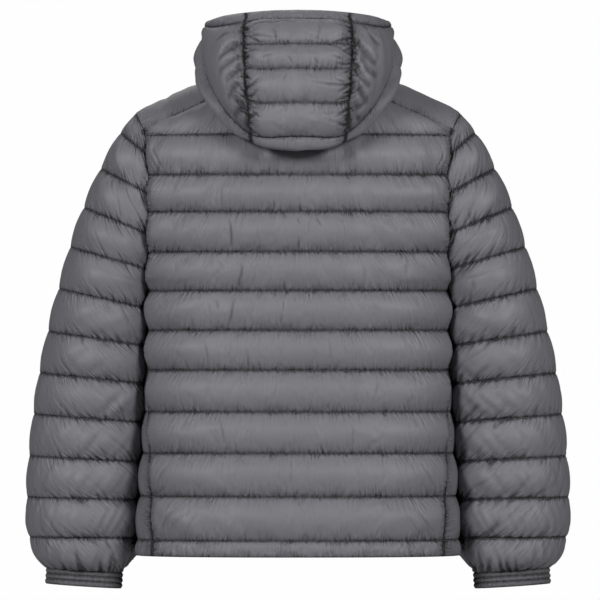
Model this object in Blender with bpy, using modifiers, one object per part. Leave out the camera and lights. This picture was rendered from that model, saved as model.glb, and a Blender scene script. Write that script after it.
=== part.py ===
"""Hooded puffer jacket: quilted panels filled out on a general figure, hood down, zip closed.

Metres, +Z up. The wearer faces -Y, and the wearer's left is +X. The origin is the centre of the
neck opening, level with the root of the neck. Each cloth piece is a shell: its own grid, laid on
the jacket's inner surface and thickened outwards, thin along the quilting and full between.
"""
import math

import bpy
import numpy as np
from mathutils import Matrix, Vector

MM = 0.001

# ---------------------------------------------------------------- driving dimensions
SEAM_GAP = 0.00016          # set-in of each of the two edges that a seam joins
CLOSE_SEAM_GAP = 0.0026     # the same at the armhole, where thick cloth turns a corner
SHOULDER_GAP = 0.0008       # and at the shoulder seam
NECK_GAP = 0.0038           # and at the neckline, on the neck piece
COLLAR_TOP_GAP = 0.0020     # and between the neck piece and the hood
SLEEVE_END_GAP = 0.0004
CUFF_GAP = 0.0016
EDGE_THICK = 0.0013         # cloth and turnings along a seam
LINE_THICK = 0.0030         # both shells and the flattened down under a quilting line
BODY_FILL = 0.0110          # thickest place of a body row
SLEEVE_FILL = 0.0042        # of a sleeve's outside, where its rows barely swell
SLEEVE_FACE_FILL = 0.0055   # what its front and back hold over that
COLLAR_FILL = 0.0080
HOOD_FILL = 0.0090
HOOD_FLAT_FILL = 0.0040     # where the hood's sides narrow towards the front
HOOD_BAND_FILL = 0.0050
HEM_FILL = 0.0050
CUFF_THICK = 0.0040
EDGE_RUN = 0.022            # a panel reaches its full thickness this far from a seam
FULLNESS_POWER = 0.7        # a half sine to this power is a row's section: below 1 is fuller
STEPS = 3                   # grid steps across one quilted row

# Widths of the pieces from seam to seam
BACK_WIDTH = 0.42
FRONT_WIDTH = 0.24
SIDE_WIDTH = 0.07
NECK_SIDE_WIDTH = 0.25
COLLAR_BACK_WIDTH = 0.13
HOOD_CENTRE_WIDTH = 0.14

# Quilting lines of the body, as heights. The first is the yoke line of the back; the last two
# are the hem's stitch line and the hem fold.
BACK_LINES = (-0.077, -0.133, -0.185, -0.241, -0.2955, -0.351, -0.407, -0.4655, -0.5235,
              -0.584, -0.6455, -0.668)
FRONT_LINES = (-0.086, -0.140, -0.193, -0.245, -0.2955, -0.351, -0.407, -0.4655, -0.5235,
               -0.584, -0.6455, -0.668)
SIDE_LINES = BACK_LINES[5:]

# The body at each height: where the side seams lie, the half width at the side, the depth of
# the back and of the front from the shoulder line, and the side panel's fill.
TORSO_COLUMNS = ("height", "seam_x", "seam_y", "side_x", "back_y", "front_y", "side_fill")
TORSO = (
    (-0.020, 0.2240, 0.0250, 0.2260, 0.0800, 0.070, 0.0030),
    (-0.046, 0.2235, 0.0250, 0.2250, 0.0905, 0.0795, 0.0030),
    (-0.077, 0.2150, 0.0250, 0.2170, 0.1020, 0.0955, 0.0030),
    (-0.117, 0.2108, 0.0250, 0.2130, 0.1130, 0.108, 0.0030),
    (-0.162, 0.2102, 0.0250, 0.2125, 0.1190, 0.117, 0.0030),
    (-0.207, 0.2106, 0.0250, 0.2125, 0.1200, 0.122, 0.0030),
    (-0.251, 0.2100, 0.0250, 0.2120, 0.1175, 0.124, 0.0030),
    (-0.286, 0.2100, 0.0250, 0.2112, 0.1150, 0.124, 0.0030),
    (-0.351, 0.2100, 0.0250, 0.2112, 0.1130, 0.124, 0.0032),
    (-0.407, 0.2094, 0.0280, 0.2118, 0.1140, 0.125, 0.0040),
    (-0.466, 0.2082, 0.0360, 0.2140, 0.1170, 0.126, 0.0055),
    (-0.524, 0.2062, 0.0470, 0.2168, 0.1210, 0.127, 0.0068),
    (-0.584, 0.2042, 0.0570, 0.2203, 0.1250, 0.129, 0.0078),
    (-0.646, 0.2022, 0.0660, 0.2240, 0.1280, 0.131, 0.0080),
    (-0.668, 0.2026, 0.0670, 0.2268, 0.1290, 0.132, 0.0080),
)
SECTION_POWER = 2.4         # 2 would be an ellipse, more is squarer
BACK_COLUMNS = (0.0, 0.19, 0.38, 0.66, 0.92, 1.0)      # shares of the way to the side seam
FRONT_COLUMNS = (0.0, 0.08, 0.22, 0.38, 0.66, 0.92, 1.0)
NECK_COLUMN = 0.38          # the column that starts at the root of the neck
SIDE_COLUMNS = (0.0, 0.33, 0.67, 1.0)

# The armhole is an ellipse seen from the side, and the side panel closes its lowest stretch.
ARMHOLE_HEIGHT = -0.168
ARMHOLE_HALF_HEIGHT = 0.118
ARMHOLE_HALF_DEPTH = 0.068
SIDE_PANEL_TOP_HALF = 0.025

# The shoulder seam lies behind the top of the shoulder, so the front wraps over it.
SHOULDER_SEAM_COLUMNS = ("column", "x", "y", "z")
SHOULDER_SEAM = (
    (0.38, 0.0760, 0.0260, -0.0010),
    (0.60, 0.1230, 0.0480, -0.0270),
    (0.80, 0.1740, 0.0500, -0.0510),
    (0.94, 0.2050, 0.0445, -0.0650),
    (1.00, 0.2160, 0.0405, -0.0707),
)
SHOULDER_LIFT = ((0.0, 0.19, 0.38, 0.60, 0.80, 0.94, 1.0),
                 (0.004, 0.012, 0.046, 0.086, 0.080, 0.066, 0.058))
SHOULDER_LIFT_FORWARD = 0.15    # how much of that lift also pushes the front forward
ARM_END_SHARE = 0.8         # from here the front's top row turns to follow the armhole
YOKE_BULGE = 0.004
ZIP_HALF_OPENING = 0.006

# Sleeve rows down to the cuff seam: row number, outer and inner end of the quilting line, half
# depth from front to back, how far the arm hangs forward, and the fill on the inside of the arm.
# Row 4.333 is the underarm, and from there the sleeve leaves the body.
SLEEVE_COLUMNS = ("row", "outer_x", "outer_z", "inner_x", "inner_z", "half_depth", "forward",
                  "inside_fill")
SLEEVE = (
    (0.0, 0.2272, -0.0478, 0.2235, -0.0552, 0.0212, 0.000, 0.0045),
    (1.0, 0.2466, -0.0738, 0.2130, -0.1050, 0.0610, 0.000, 0.0045),
    (2.0, 0.2735, -0.1240, 0.2110, -0.1596, 0.0705, 0.000, 0.0045),
    (3.0, 0.2973, -0.1785, 0.2110, -0.2155, 0.0745, 0.000, 0.0045),
    (4.0, 0.3165, -0.2340, 0.2105, -0.2657, 0.0760, 0.001, 0.0030),
    (4.333, 0.3222, -0.2535, 0.2160, -0.2860, 0.0762, 0.001, 0.0020),
    (4.667, 0.3278, -0.2730, 0.2178, -0.3010, 0.0757, 0.002, 0.0024),
    (5.0, 0.3333, -0.2925, 0.2186, -0.3192, 0.0750, 0.003, 0.0030),
    (6.0, 0.3480, -0.3525, 0.2190, -0.3724, 0.0730, 0.007, 0.0045),
    (7.0, 0.3598, -0.4110, 0.2202, -0.4256, 0.0715, 0.011, 0.0045),
    (8.0, 0.3677, -0.4690, 0.2238, -0.4802, 0.0700, 0.014, 0.0045),
    (9.0, 0.3732, -0.5280, 0.2278, -0.5356, 0.0680, 0.017, 0.0045),
    (10.0, 0.3766, -0.5860, 0.2318, -0.5891, 0.0665, 0.020, 0.0045),
    (11.0, 0.3718, -0.6418, 0.2375, -0.6429, 0.0630, 0.022, 0.0045),
    (12.0, 0.3514, -0.6858, 0.2515, -0.6925, 0.0420, 0.024, 0.0045),
)
UNDERARM_ROW = 4.333
SLEEVE_AROUND = 9
CUFF_DEPTH = 0.0205
CUFF_AROUND = 12

# The neck piece and the hood, all round the neck. The angle runs from the centre back (0) to
# the centre front (180); each pair is the distance from the neck's axis and the height.
NECK_COLUMNS = ("angle", "neck", "rise", "roll", "top", "belly", "band", "rim")
NECK = (
    (0, (80, -20), (96, 34), (158, -145), (172, -80), (205, 25), (126, 84), (106, 97)),
    (23, (80, -18), (96, 36), (155, -124), (168, -76), (200, 25), (128, 83), (108, 96)),
    (37, (80, -13), (96, 38), (154, -112), (160, -48), (186, 30), (135, 79), (115, 94)),
    (56, (80, -6), (98, 36), (184, -52), (149, 0), (154, 44), (138, 74), (124, 90)),
    (75, (80, 1), (104, 34), (164, -6), (136, 46), (133, 60), (133, 76), (124, 85)),
    (90, (80, 5), (98, 38), (163, 4), (132, 62), (130, 68), (130, 76), (120, 83)),
    (112, (82, -11), (90, 26), (140, 10), (120, 58), (119, 65), (117, 72), (110, 79)),
    (143, (86, -40), (88, -4), (122, 6), (114, 42), (114, 50), (110, 56), (103, 64)),
    (180, (88, -62), (92, -38), (112, -10), (112, 25), (112, 33), (109, 38), (103, 46)),
)
SHOULDER_ANGLE = 71.1       # where the shoulder seam meets the neckline
BACK_NECK_ANGLE = 23.0      # seam between the centre and the side pieces, at the neck piece
HOOD_BAND_ANGLE = 34.0      # the same seam at the hood's edge band
HOOD_RIM_ANGLE = 40.0
SEAM_CURVE = 2.2            # the seam runs straight at first and spreads near the band
HOOD_FRONT_ANGLE = 167.0    # the hood ends this far round, short of the zip
HOOD_LINES = (0.0, 0.27, 0.495, 0.765, 1.0)     # from the band down to the neck piece
COLLAR_LINES = (0.0, 0.5, 1.0)
COLLAR_ROOT_FILL = 0.0038
FRONT_NECK_ANGLE = 176.7
NECK_SIDE_COLUMNS = (0.0, 0.07, 0.2, 0.35, 0.5, 0.62, 0.74, 0.85, 0.94, 1.0)
NECK_CENTRE_COLUMNS = (0.0, 0.1, 0.36, 0.64, 0.9, 1.0)
ZIP_NECK_SHARE = 0.12       # the part of the zip beside the neck piece
ZIP_BODY_STEPS = 12

# Zip
TAPE_INNER_X = 0.0031
TAPE_OUTER_X = 0.0150
TAPE_THICK = 0.0008
CHAIN_HALF = 0.0026
CHAIN_THICK = 0.0022
CHAIN_TOP_SHARE = 0.985
TAPE_BEHIND = 0.0009
SLIDER_HALF_WIDTH = 0.0044
SLIDER_LENGTH = 0.0120
PLATE_THICK = 0.0012
PLATE_CLEARANCE = 0.0010
BRIDGE_HALF_WIDTH = 0.0012
BRIDGE_LENGTH = 0.0085
BRIDGE_HEIGHT = 0.0036
POST_HEIGHT = 0.0022
POST_CLEARANCE = 0.0008
PULL_HALF_WIDTH = 0.0035
PULL_LENGTH = 0.0300
PULL_THICK = 0.0015
PULL_HOLE_HALF = 0.0019
PULL_HOLE_LENGTH = 0.0055


# ---------------------------------------------------------------- tools for every piece
def through(stations, values, place):
    """Smooth curve through a table's rows, read at any place."""
    stations = np.asarray(stations, float)
    values = np.asarray(values, float)
    slopes = np.gradient(values, stations)
    place = np.clip(np.asarray(place, float), stations[0], stations[-1])
    row = np.clip(np.searchsorted(stations, place, side="right") - 1, 0, len(stations) - 2)
    step = stations[row + 1] - stations[row]
    t = (place - stations[row]) / step
    rise = (1 + 2 * t) * (1 - t) ** 2 * values[row] + t * t * (3 - 2 * t) * values[row + 1]
    return rise + step * (t * (1 - t) ** 2 * slopes[row] + t * t * (t - 1) * slopes[row + 1])


def column(table, names, name):
    return [row[names.index(name)] for row in table]


def torso(height, name):
    """A torso size at a height."""
    heights = [-row[0] for row in TORSO]
    return through(heights, column(TORSO, TORSO_COLUMNS, name), -np.asarray(height, float))


def material(name, colour, roughness, metallic):
    made = bpy.data.materials.new(name)
    made.use_nodes = True
    shader = made.node_tree.nodes["Principled BSDF"]
    shader.inputs["Base Color"].default_value = (*colour, 1)
    shader.inputs["Roughness"].default_value = roughness
    shader.inputs["Metallic"].default_value = metallic
    return made


def fill_profile(fraction):
    """Fullness across a row, from 0 on a quilting line to 1 in the middle."""
    return np.sin(math.pi * np.clip(fraction, 0, 1)) ** FULLNESS_POWER


def cloth_piece(name, surface, columns, rows, thickness, finish, gaps):
    """One sewn piece: a grid on the inner surface, thickened outwards.

    surface(u, row) gives points for arrays of u (0 to 1, left to right seen from outside) and
    row (0 at the top edge, a whole number on each line). thickness(u, row) is in metres. gaps
    is the set-in at the left, right, top and bottom edge.
    """
    columns = np.asarray(columns, float)
    rows = np.asarray(rows, float)
    across, down = len(columns), len(rows)
    bpy.ops.mesh.primitive_grid_add(x_subdivisions=across - 1, y_subdivisions=down - 1, size=1)
    piece = bpy.context.object
    piece.name = name
    piece.data.name = name
    u = np.tile(columns, (down, 1))
    row = np.tile(rows[::-1, None], (1, across))
    points = np.asarray(surface(u, row), float)
    thick = np.broadcast_to(thickness(u, row), u.shape)
    points = set_in(points, *gaps)
    flat = points.reshape(-1, 3).astype(np.float32)
    piece.data.vertices.foreach_set("co", flat.ravel())
    piece.data.update()
    fullest = float(thick.max())
    group = piece.vertex_groups.new(name="fill")
    for index, value in enumerate(thick.ravel()):
        group.add([index], float(value / fullest), "REPLACE")
    shell = piece.modifiers.new("thickness", "SOLIDIFY")
    shell.thickness = fullest
    shell.offset = 1
    shell.vertex_group = "fill"
    shell.use_rim = True
    piece.data.materials.append(finish)
    return own(piece)


def armhole_gap(edge):
    """Set-in along a side edge: wider beside the armhole than down the seam below it."""
    above = edge[..., 2] > armhole_bottom(SIDE_PANEL_TOP_HALF) - 0.001
    return np.where(above, CLOSE_SEAM_GAP, SEAM_GAP)[..., None]


def set_in(points, left, right, top, bottom):
    """Edges of a grid of points, moved in along the surface."""
    def pull(edge, inside, gap):
        way = inside - edge
        distance = gap(edge) if callable(gap) else gap
        return edge + way / np.linalg.norm(way, axis=-1, keepdims=True) * distance

    moved = points.copy()
    moved[:, 0] = pull(points[:, 0], points[:, 1], left)
    moved[:, -1] = pull(points[:, -1], points[:, -2], right)
    level = moved.copy()
    moved[0] = pull(level[0], level[1], bottom)
    moved[-1] = pull(level[-1], level[-2], top)
    return moved


def own(piece):
    """Moves a piece from the scene's collection to the jacket's."""
    for holder in list(piece.users_collection):
        holder.objects.unlink(piece)
    jacket.objects.link(piece)
    return piece


def sided_piece(side):
    """A cloth_piece for the wearer's left (1), or for the right (-1) as its mirror image."""
    def piece(name, surface, columns, rows, thickness, finish, gaps):
        if side > 0:
            return cloth_piece(name, surface, columns, rows, thickness, finish, gaps)
        left, right, top, bottom = gaps
        return cloth_piece(name, lambda u, row: surface(1 - u, row) * np.array((-1, 1, 1)),
                           1 - np.asarray(columns)[::-1], rows,
                           lambda u, row: thickness(1 - u, row), finish,
                           (right, left, top, bottom))
    return piece


def row_steps(lines, flat_rows=0):
    """Grid rows down a panel: STEPS to a quilted row and one to a flat row at its end."""
    full = lines - flat_rows
    quilted_rows = [line + step / STEPS for line in range(full) for step in range(STEPS)]
    return quilted_rows + list(range(full, lines + 1))


def stack(x, y, z):
    return np.stack(np.broadcast_arrays(x, y, z), axis=-1)


# ---------------------------------------------------------------- body panels
def armhole_depth(height):
    """Half depth of the armhole at a height."""
    reach = np.clip((height - ARMHOLE_HEIGHT) / ARMHOLE_HALF_HEIGHT, -1, 1)
    return ARMHOLE_HALF_DEPTH * np.sqrt(1 - reach ** 2)


def armhole_bottom(depth):
    """Height of the armhole's lower half at a depth."""
    return ARMHOLE_HEIGHT - ARMHOLE_HALF_HEIGHT * np.sqrt(1 - (depth / ARMHOLE_HALF_DEPTH) ** 2)


def side_edge_depth(height):
    """Distance of the armhole, and of the side seam below it, from the shoulder line."""
    return np.maximum(armhole_depth(height), torso(height, "seam_y"))


def body_section(share, height, face, start_x=0.0):
    """Point of the back ("back_y") or front ("front_y") at a share of the way to its seam."""
    depth = torso(height, face)
    seam_x = torso(height, "seam_x")
    edge = side_edge_depth(height)
    reach = seam_x / (1 - (edge / depth) ** SECTION_POWER) ** (1 / SECTION_POWER)
    last = np.arcsin((seam_x / reach) ** (SECTION_POWER / 2))
    first = np.arcsin((start_x / reach) ** (SECTION_POWER / 2))
    angle = first + (last - first) * np.abs(share)
    side = np.where(share < 0, -1, 1)
    x = side * reach * np.sin(angle) ** (2 / SECTION_POWER)
    y = depth * np.cos(angle) ** (2 / SECTION_POWER)
    return x, y if face == "back_y" else -y


def line_height(lines, row):
    """Height at a row number, where row 1 is the first line."""
    return np.interp(row, np.arange(1, len(lines) + 1), lines)


def shoulder_seam(share):
    """Point of the shoulder seam at a column, for the wearer's left."""
    places = column(SHOULDER_SEAM, SHOULDER_SEAM_COLUMNS, "column")
    return [through(places, column(SHOULDER_SEAM, SHOULDER_SEAM_COLUMNS, axis), share)
            for axis in ("x", "y", "z")]


def neck_ring(name, angle):
    """Distance from the neck's axis and height of one ring of the neck table, in metres."""
    angles = column(NECK, NECK_COLUMNS, "angle")
    pairs = column(NECK, NECK_COLUMNS, name)
    reach = through(angles, [pair[0] for pair in pairs], np.abs(angle)) * MM
    height = through(angles, [pair[1] for pair in pairs], np.abs(angle)) * MM
    return reach, height


def around(reach, height, angle):
    turn = np.radians(angle)
    return reach * np.sin(turn), reach * np.cos(turn), height


def top_edge(share, neck_angle):
    """Top edge of a body panel: the neckline up to the shoulder, then the shoulder seam."""
    reach, height = neck_ring("neck", neck_angle)
    neck_x, neck_y, neck_z = around(reach, height, neck_angle)
    x, y, z = shoulder_seam(np.abs(share))
    at_neck = np.abs(share) <= NECK_COLUMN
    return (np.where(at_neck, neck_x, np.sign(share) * x), np.where(at_neck, neck_y, y),
            np.where(at_neck, neck_z, z))


def back_surface(u, row):
    share = 1 - 2 * u
    height = line_height(BACK_LINES, row)
    x, y = body_section(share, height, "back_y")
    neck_angle = share / NECK_COLUMN * SHOULDER_ANGLE
    top = top_edge(share, np.clip(neck_angle, -SHOULDER_ANGLE, SHOULDER_ANGLE))
    below = np.clip(row, 0, 1)
    bulge = YOKE_BULGE * np.sin(math.pi * below)
    return stack(top[0] + (x - top[0]) * below, top[1] + (y - top[1]) * below + bulge,
                 top[2] + (height - top[2]) * below + bulge)


def armhole_over(row):
    """The armhole from the shoulder seam over the top to the front's first line."""
    behind = math.asin(float(shoulder_seam(1.0)[1]) / ARMHOLE_HALF_DEPTH)
    ahead = math.acos((FRONT_LINES[0] - ARMHOLE_HEIGHT) / ARMHOLE_HALF_HEIGHT)
    turn = behind - (behind + ahead) * row
    height = ARMHOLE_HEIGHT + ARMHOLE_HALF_HEIGHT * np.cos(turn)
    return torso(height, "seam_x"), ARMHOLE_HALF_DEPTH * np.sin(turn), height


def front_surface(u, row):
    """The wearer's left front. It wraps over the shoulder to the seam behind."""
    share = u
    height = line_height(FRONT_LINES, row)
    x, y = body_section(share, height, "front_y", ZIP_HALF_OPENING)
    toward_neck = np.clip(share / NECK_COLUMN, 0, 1)
    zip_angle = 180 - math.degrees(ZIP_HALF_OPENING / (NECK[-1][1][0] * MM))
    top = top_edge(share, zip_angle + (SHOULDER_ANGLE - zip_angle) * toward_neck)
    below = np.clip(row, 0, 1)
    lift = through(*SHOULDER_LIFT, share) * 2 * below * (1 - below)
    over_x = top[0] + (x - top[0]) * below
    over_y = top[1] + (y - top[1]) * below - SHOULDER_LIFT_FORWARD * lift
    over_z = top[2] + (height - top[2]) * below + lift
    arm = armhole_over(below)
    near = np.clip((share - ARM_END_SHARE) / (1 - ARM_END_SHARE), 0, 1) ** 2 * (row < 1)
    return stack(over_x + (arm[0] - over_x) * near, over_y + (arm[1] - over_y) * near,
                 over_z + (arm[2] - over_z) * near)


def side_surface(u, row):
    """The wearer's left side panel, from the front seam (u = 0) to the back seam (u = 1)."""
    lower = line_height(SIDE_LINES, row)
    across = 2 * u - 1
    top = armhole_bottom(SIDE_PANEL_TOP_HALF * across)
    height = np.where(row < 1, top + (SIDE_LINES[0] - top) * np.clip(row, 0, 1), lower)
    y = torso(height, "seam_y") * across
    seam_x = torso(height, "seam_x")
    x = seam_x + (torso(height, "side_x") - seam_x) * (1 - across ** 2)
    return stack(x, y, height)


def back_fill(u, row):
    """Fill of the back: its first row runs out to nothing at the shoulder tips."""
    tip = np.interp(np.abs(1 - 2 * u), (0.5, 1), (1, 0.1))
    return LINE_THICK + (BODY_FILL - LINE_THICK) * np.where(row < 1, tip, 1)


def front_fill(u, row):
    """Fill of a front: its first row is flat where the neckline comes near the zip."""
    return LINE_THICK + (BODY_FILL - LINE_THICK) * np.where(row < 1, np.clip(0.3 + 2 * u, 0, 1), 1)


def side_thickness(u, row):
    """Thickness of a side panel, whose first row is the sixth row of the back."""
    skipped = len(BACK_LINES) - len(SIDE_LINES)
    height = line_height(SIDE_LINES, row)

    def full(u, row):
        return torso(height, "side_fill")
    return quilted(full, 0, SIDE_WIDTH)(u, row + skipped)


def quilted(full, edge_left, width):
    """Thickness of a quilted panel whose last row is the flat hem. edge_left is how far the
    panel's left edge already is from thin cloth."""
    def thickness(u, row):
        fraction = row - np.floor(row)
        line = len(BACK_LINES) - 1
        fullness = np.where(row > line, HEM_FILL, full(u, row))
        from_edge = np.minimum(u * width + edge_left, (1 - u) * width)
        edge = np.clip(from_edge / EDGE_RUN, 0, 1)
        base = EDGE_THICK + (LINE_THICK - EDGE_THICK) * edge * np.clip(row * STEPS, 0, 1)
        return base + (fullness - base) * fill_profile(fraction) * edge
    return thickness


# ---------------------------------------------------------------- sleeve and cuff
def sleeve_size(row, name):
    rows = column(SLEEVE, SLEEVE_COLUMNS, "row")
    return through(rows, column(SLEEVE, SLEEVE_COLUMNS, name), row)


def sleeve_loop(u, row):
    """The wearer's left sleeve, from its front edge (u = 0) round the outside to its back."""
    outer_x, outer_z = sleeve_size(row, "outer_x"), sleeve_size(row, "outer_z")
    inner_z = sleeve_size(row, "inner_z")
    on_armhole = row < UNDERARM_ROW - 1e-6
    inner_x = np.where(on_armhole, torso(inner_z, "seam_x"), sleeve_size(row, "inner_x"))
    edge_y = np.where(on_armhole, armhole_depth(inner_z), 0)
    half_depth = sleeve_size(row, "half_depth")
    last = math.pi - np.arcsin(np.clip(edge_y / half_depth, 0, 0.999))
    span = 1 - np.cos(last)
    turn = last * (2 * u - 1)
    along = 1 - (1 - np.cos(turn)) / span
    x = inner_x + (outer_x - inner_x) * along
    z = inner_z + (outer_z - inner_z) * along
    forward = sleeve_size(row, "forward")
    return stack(x, half_depth * np.sin(turn) - forward, z)


def sleeve_thickness(u, row):
    fraction = row - np.floor(row)
    outside = fill_profile(u)
    inside_fill = sleeve_size(row, "inside_fill")
    full = inside_fill + (SLEEVE_FILL - inside_fill) * outside
    full = full + SLEEVE_FACE_FILL * np.exp(-((np.abs(2 * u - 1) - 0.5) / 0.27) ** 2)
    edge = np.clip(np.minimum(u, 1 - u) * SLEEVE_AROUND / 1.6, 0, 1)
    base = EDGE_THICK + (LINE_THICK - EDGE_THICK) * edge
    short = np.clip(row + 0.2, 0, 1)
    return base + (full - base) * fill_profile(fraction) * edge * short


def cuff_surface(u, row):
    """The wearer's left cuff, which carries the sleeve's last loop straight down."""
    last = SLEEVE[-1][0]
    above = sleeve_loop(u, np.full_like(u, last))
    inner = np.array((SLEEVE[-1][3], -SLEEVE[-1][6], SLEEVE[-1][4]))
    outer = np.array((SLEEVE[-1][1], -SLEEVE[-1][6], SLEEVE[-1][2]))
    way = outer - inner
    down = np.array((-way[2], 0, way[0])) / np.linalg.norm(way) * -CUFF_DEPTH
    return above + down * row[..., None]


# ---------------------------------------------------------------- neck piece and hood
def bezier(points, t):
    """Curve of two or three spans' control, each point a (distance, height) pair."""
    order = len(points) - 1
    total = [0, 0]
    for index, point in enumerate(points):
        weight = math.comb(order, index) * (1 - t) ** (order - index) * t ** index
        total = [total[0] + weight * point[0], total[1] + weight * point[1]]
    return total


def neck_surface(rings, first, last):
    """Surface between rings of the neck table. first and last give the two side edges' angles.

    Row 0 is the upper ring, so the grid stands the right way up.
    """
    def surface(u, row):
        t = 1 - row
        start = first[0] + (first[1] - first[0]) * t ** SEAM_CURVE
        end = last[0] + (last[1] - last[0]) * t ** SEAM_CURVE
        angle = start + (end - start) * u
        reach, height = bezier([neck_ring(ring, angle) for ring in rings], t)
        return stack(*around(reach, height, angle))
    return surface


def pad_thickness(full, lines, width):
    """Thickness of a neck or hood piece with quilting lines at shares of its height."""
    lines = np.asarray(lines)

    def thickness(u, row):
        below = np.clip(np.searchsorted(lines, row + 1e-6, side="right") - 1, 0, len(lines) - 2)
        fraction = (row - lines[below]) / (lines[below + 1] - lines[below])
        edge = np.clip(np.minimum(u, 1 - u) * width / EDGE_RUN, 0, 1)
        inside = edge * (row > 0) * (row < 1)
        base = EDGE_THICK + (LINE_THICK - EDGE_THICK) * inside
        return base + (full - base) * fill_profile(fraction) * edge
    return thickness


def hood_side_thickness(u, row):
    """Thickness of a hood side, which holds little down where it narrows towards the front."""
    flat = pad_thickness(HOOD_FLAT_FILL, (0, 1), NECK_SIDE_WIDTH)(u, row)
    full = pad_thickness(HOOD_FILL, (0, 1), NECK_SIDE_WIDTH)(u, row)
    return flat + (full - flat) * np.clip((u - 0.5) / 0.35, 0, 1)


def collar_thickness(width):
    """Thickness of the neck piece, whose lower row is the flatter one."""
    def thickness(u, row):
        upper = pad_thickness(COLLAR_FILL, COLLAR_LINES, width)(u, row)
        lower = pad_thickness(COLLAR_ROOT_FILL, COLLAR_LINES, width)(u, row)
        return np.where(row < COLLAR_LINES[1], upper, lower)
    return thickness


def between(lines):
    """Rows of a hood grid: each line and STEPS - 1 places up to the next."""
    rows = [low + (high - low) * step / STEPS for low, high in zip(lines, lines[1:])
            for step in range(STEPS)]
    return rows + [lines[-1]]


# ---------------------------------------------------------------- zip
def zip_path(x, share):
    """Inner surface of the jacket beside the zip, from the hem (0) to the neck piece's top."""
    neck_share = 1 - ZIP_NECK_SHARE
    angle = 180 - np.degrees(x / (NECK[-1][1][0] * MM))
    neckline_height = neck_ring("neck", angle)[1]
    height = FRONT_LINES[-1] + (neckline_height - FRONT_LINES[-1]) * share / neck_share
    body = stack(x, -torso(height, "front_y"), height)
    t = np.clip((share - neck_share) / (1 - neck_share), 0, 1)
    rings = [neck_ring(ring, angle) for ring in ("neck", "rise", "roll", "top")]
    neck = stack(*around(*bezier(rings, t), angle))
    return np.where((share <= neck_share)[..., None], body, neck)


def zip_rows():
    """Rows down the zip, which meet the neck piece's own rows."""
    beside_neck = np.linspace(0, ZIP_NECK_SHARE, len(between(COLLAR_LINES)))
    return np.concatenate((beside_neck, np.linspace(ZIP_NECK_SHARE, 1, ZIP_BODY_STEPS + 1)[1:]))


def tape_surface(u, row):
    """The wearer's left tape, just behind the front's inner surface."""
    x = TAPE_INNER_X + (TAPE_OUTER_X - TAPE_INNER_X) * u
    return zip_path(x, 1 - row) + np.array((0, TAPE_BEHIND + TAPE_THICK, 0))


def chain_surface(u, row):
    """The closed chain between the two tapes."""
    x = CHAIN_HALF * (2 * u - 1)
    return zip_path(x, (1 - row) * CHAIN_TOP_SHARE) + np.array((0, CHAIN_THICK / 2, 0))


def box_between(low, high):
    bpy.ops.mesh.primitive_cube_add(size=1, location=[(a + b) / 2 for a, b in zip(low, high)])
    box = bpy.context.object
    box.scale = [b - a for a, b in zip(low, high)]
    bpy.ops.object.transform_apply(location=True, rotation=True, scale=True)
    return box


def joined(name, solid, others, operation):
    """The solid with the others united or cut away."""
    for other in others:
        step = solid.modifiers.new(operation, "BOOLEAN")
        step.object = other
        step.operation = operation
        bpy.context.view_layer.objects.active = solid
        bpy.ops.object.modifier_apply(modifier=step.name)
        bpy.data.objects.remove(other, do_unlink=True)
    solid.name = name
    solid.data.name = name
    return solid


def slider_frame():
    """Place of the slider on the zip, with +Z up the chain and -Y out of the jacket."""
    below, above = zip_path(np.zeros(2), np.array((CHAIN_TOP_SHARE - 0.02, CHAIN_TOP_SHARE)))
    lean = math.atan2(below[1] - above[1], above[2] - below[2])
    return Matrix.Translation(Vector(above)) @ Matrix.Rotation(lean, 4, "X")


def slider_and_pull():
    """Slider, two plates joined by a post over the chain's end, and the tab on its bridge."""
    place = slider_frame()
    plate_in = CHAIN_THICK / 2 + PLATE_CLEARANCE
    plate_out = plate_in + PLATE_THICK
    low, high = -SLIDER_LENGTH + POST_HEIGHT, POST_CLEARANCE + POST_HEIGHT
    front = box_between((-SLIDER_HALF_WIDTH, -plate_out, low), (SLIDER_HALF_WIDTH, -plate_in, high))
    back_in = TAPE_BEHIND + TAPE_THICK + 2 * PLATE_CLEARANCE
    back = box_between((-SLIDER_HALF_WIDTH, back_in, low),
                       (SLIDER_HALF_WIDTH, back_in + PLATE_THICK, high))
    post = box_between((-CHAIN_HALF + PLATE_CLEARANCE, -plate_in - PLATE_THICK / 2, POST_CLEARANCE),
                       (CHAIN_HALF - PLATE_CLEARANCE, back_in + PLATE_THICK / 2, high))
    bridge_low = low + (SLIDER_LENGTH - BRIDGE_LENGTH) / 2
    bridge = box_between((-BRIDGE_HALF_WIDTH, -plate_out - BRIDGE_HEIGHT, bridge_low),
                         (BRIDGE_HALF_WIDTH, -plate_out + PLATE_THICK / 2,
                          bridge_low + BRIDGE_LENGTH))
    under = box_between((-2 * BRIDGE_HALF_WIDTH, -plate_out - BRIDGE_HEIGHT + PLATE_THICK,
                         bridge_low + PLATE_THICK),
                        (2 * BRIDGE_HALF_WIDTH, -plate_out, bridge_low + BRIDGE_LENGTH - PLATE_THICK))
    bridge = joined("bridge", bridge, [under], "DIFFERENCE")
    slider = joined("zip_slider", front, [back, post, bridge], "UNION")
    slider.matrix_world = place
    slider.data.materials.append(zip_metal)
    own(slider)

    axis_out = plate_out + (BRIDGE_HEIGHT - PLATE_THICK) / 2
    axis_up = bridge_low + BRIDGE_LENGTH / 2
    tab = box_between((-PULL_HALF_WIDTH, -PULL_THICK / 2, -PULL_LENGTH),
                      (PULL_HALF_WIDTH, PULL_THICK / 2, PULL_THICK / 2))
    hole = box_between((-PULL_HOLE_HALF, -PULL_THICK, -PULL_HOLE_LENGTH),
                       (PULL_HOLE_HALF, PULL_THICK, -PULL_THICK / 2))
    tab = joined("zip_pull", tab, [hole], "DIFFERENCE")
    tab.matrix_world = place @ Matrix.Translation((0, -axis_out, axis_up))
    tab.data.materials.append(zip_metal)
    own(tab)


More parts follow.
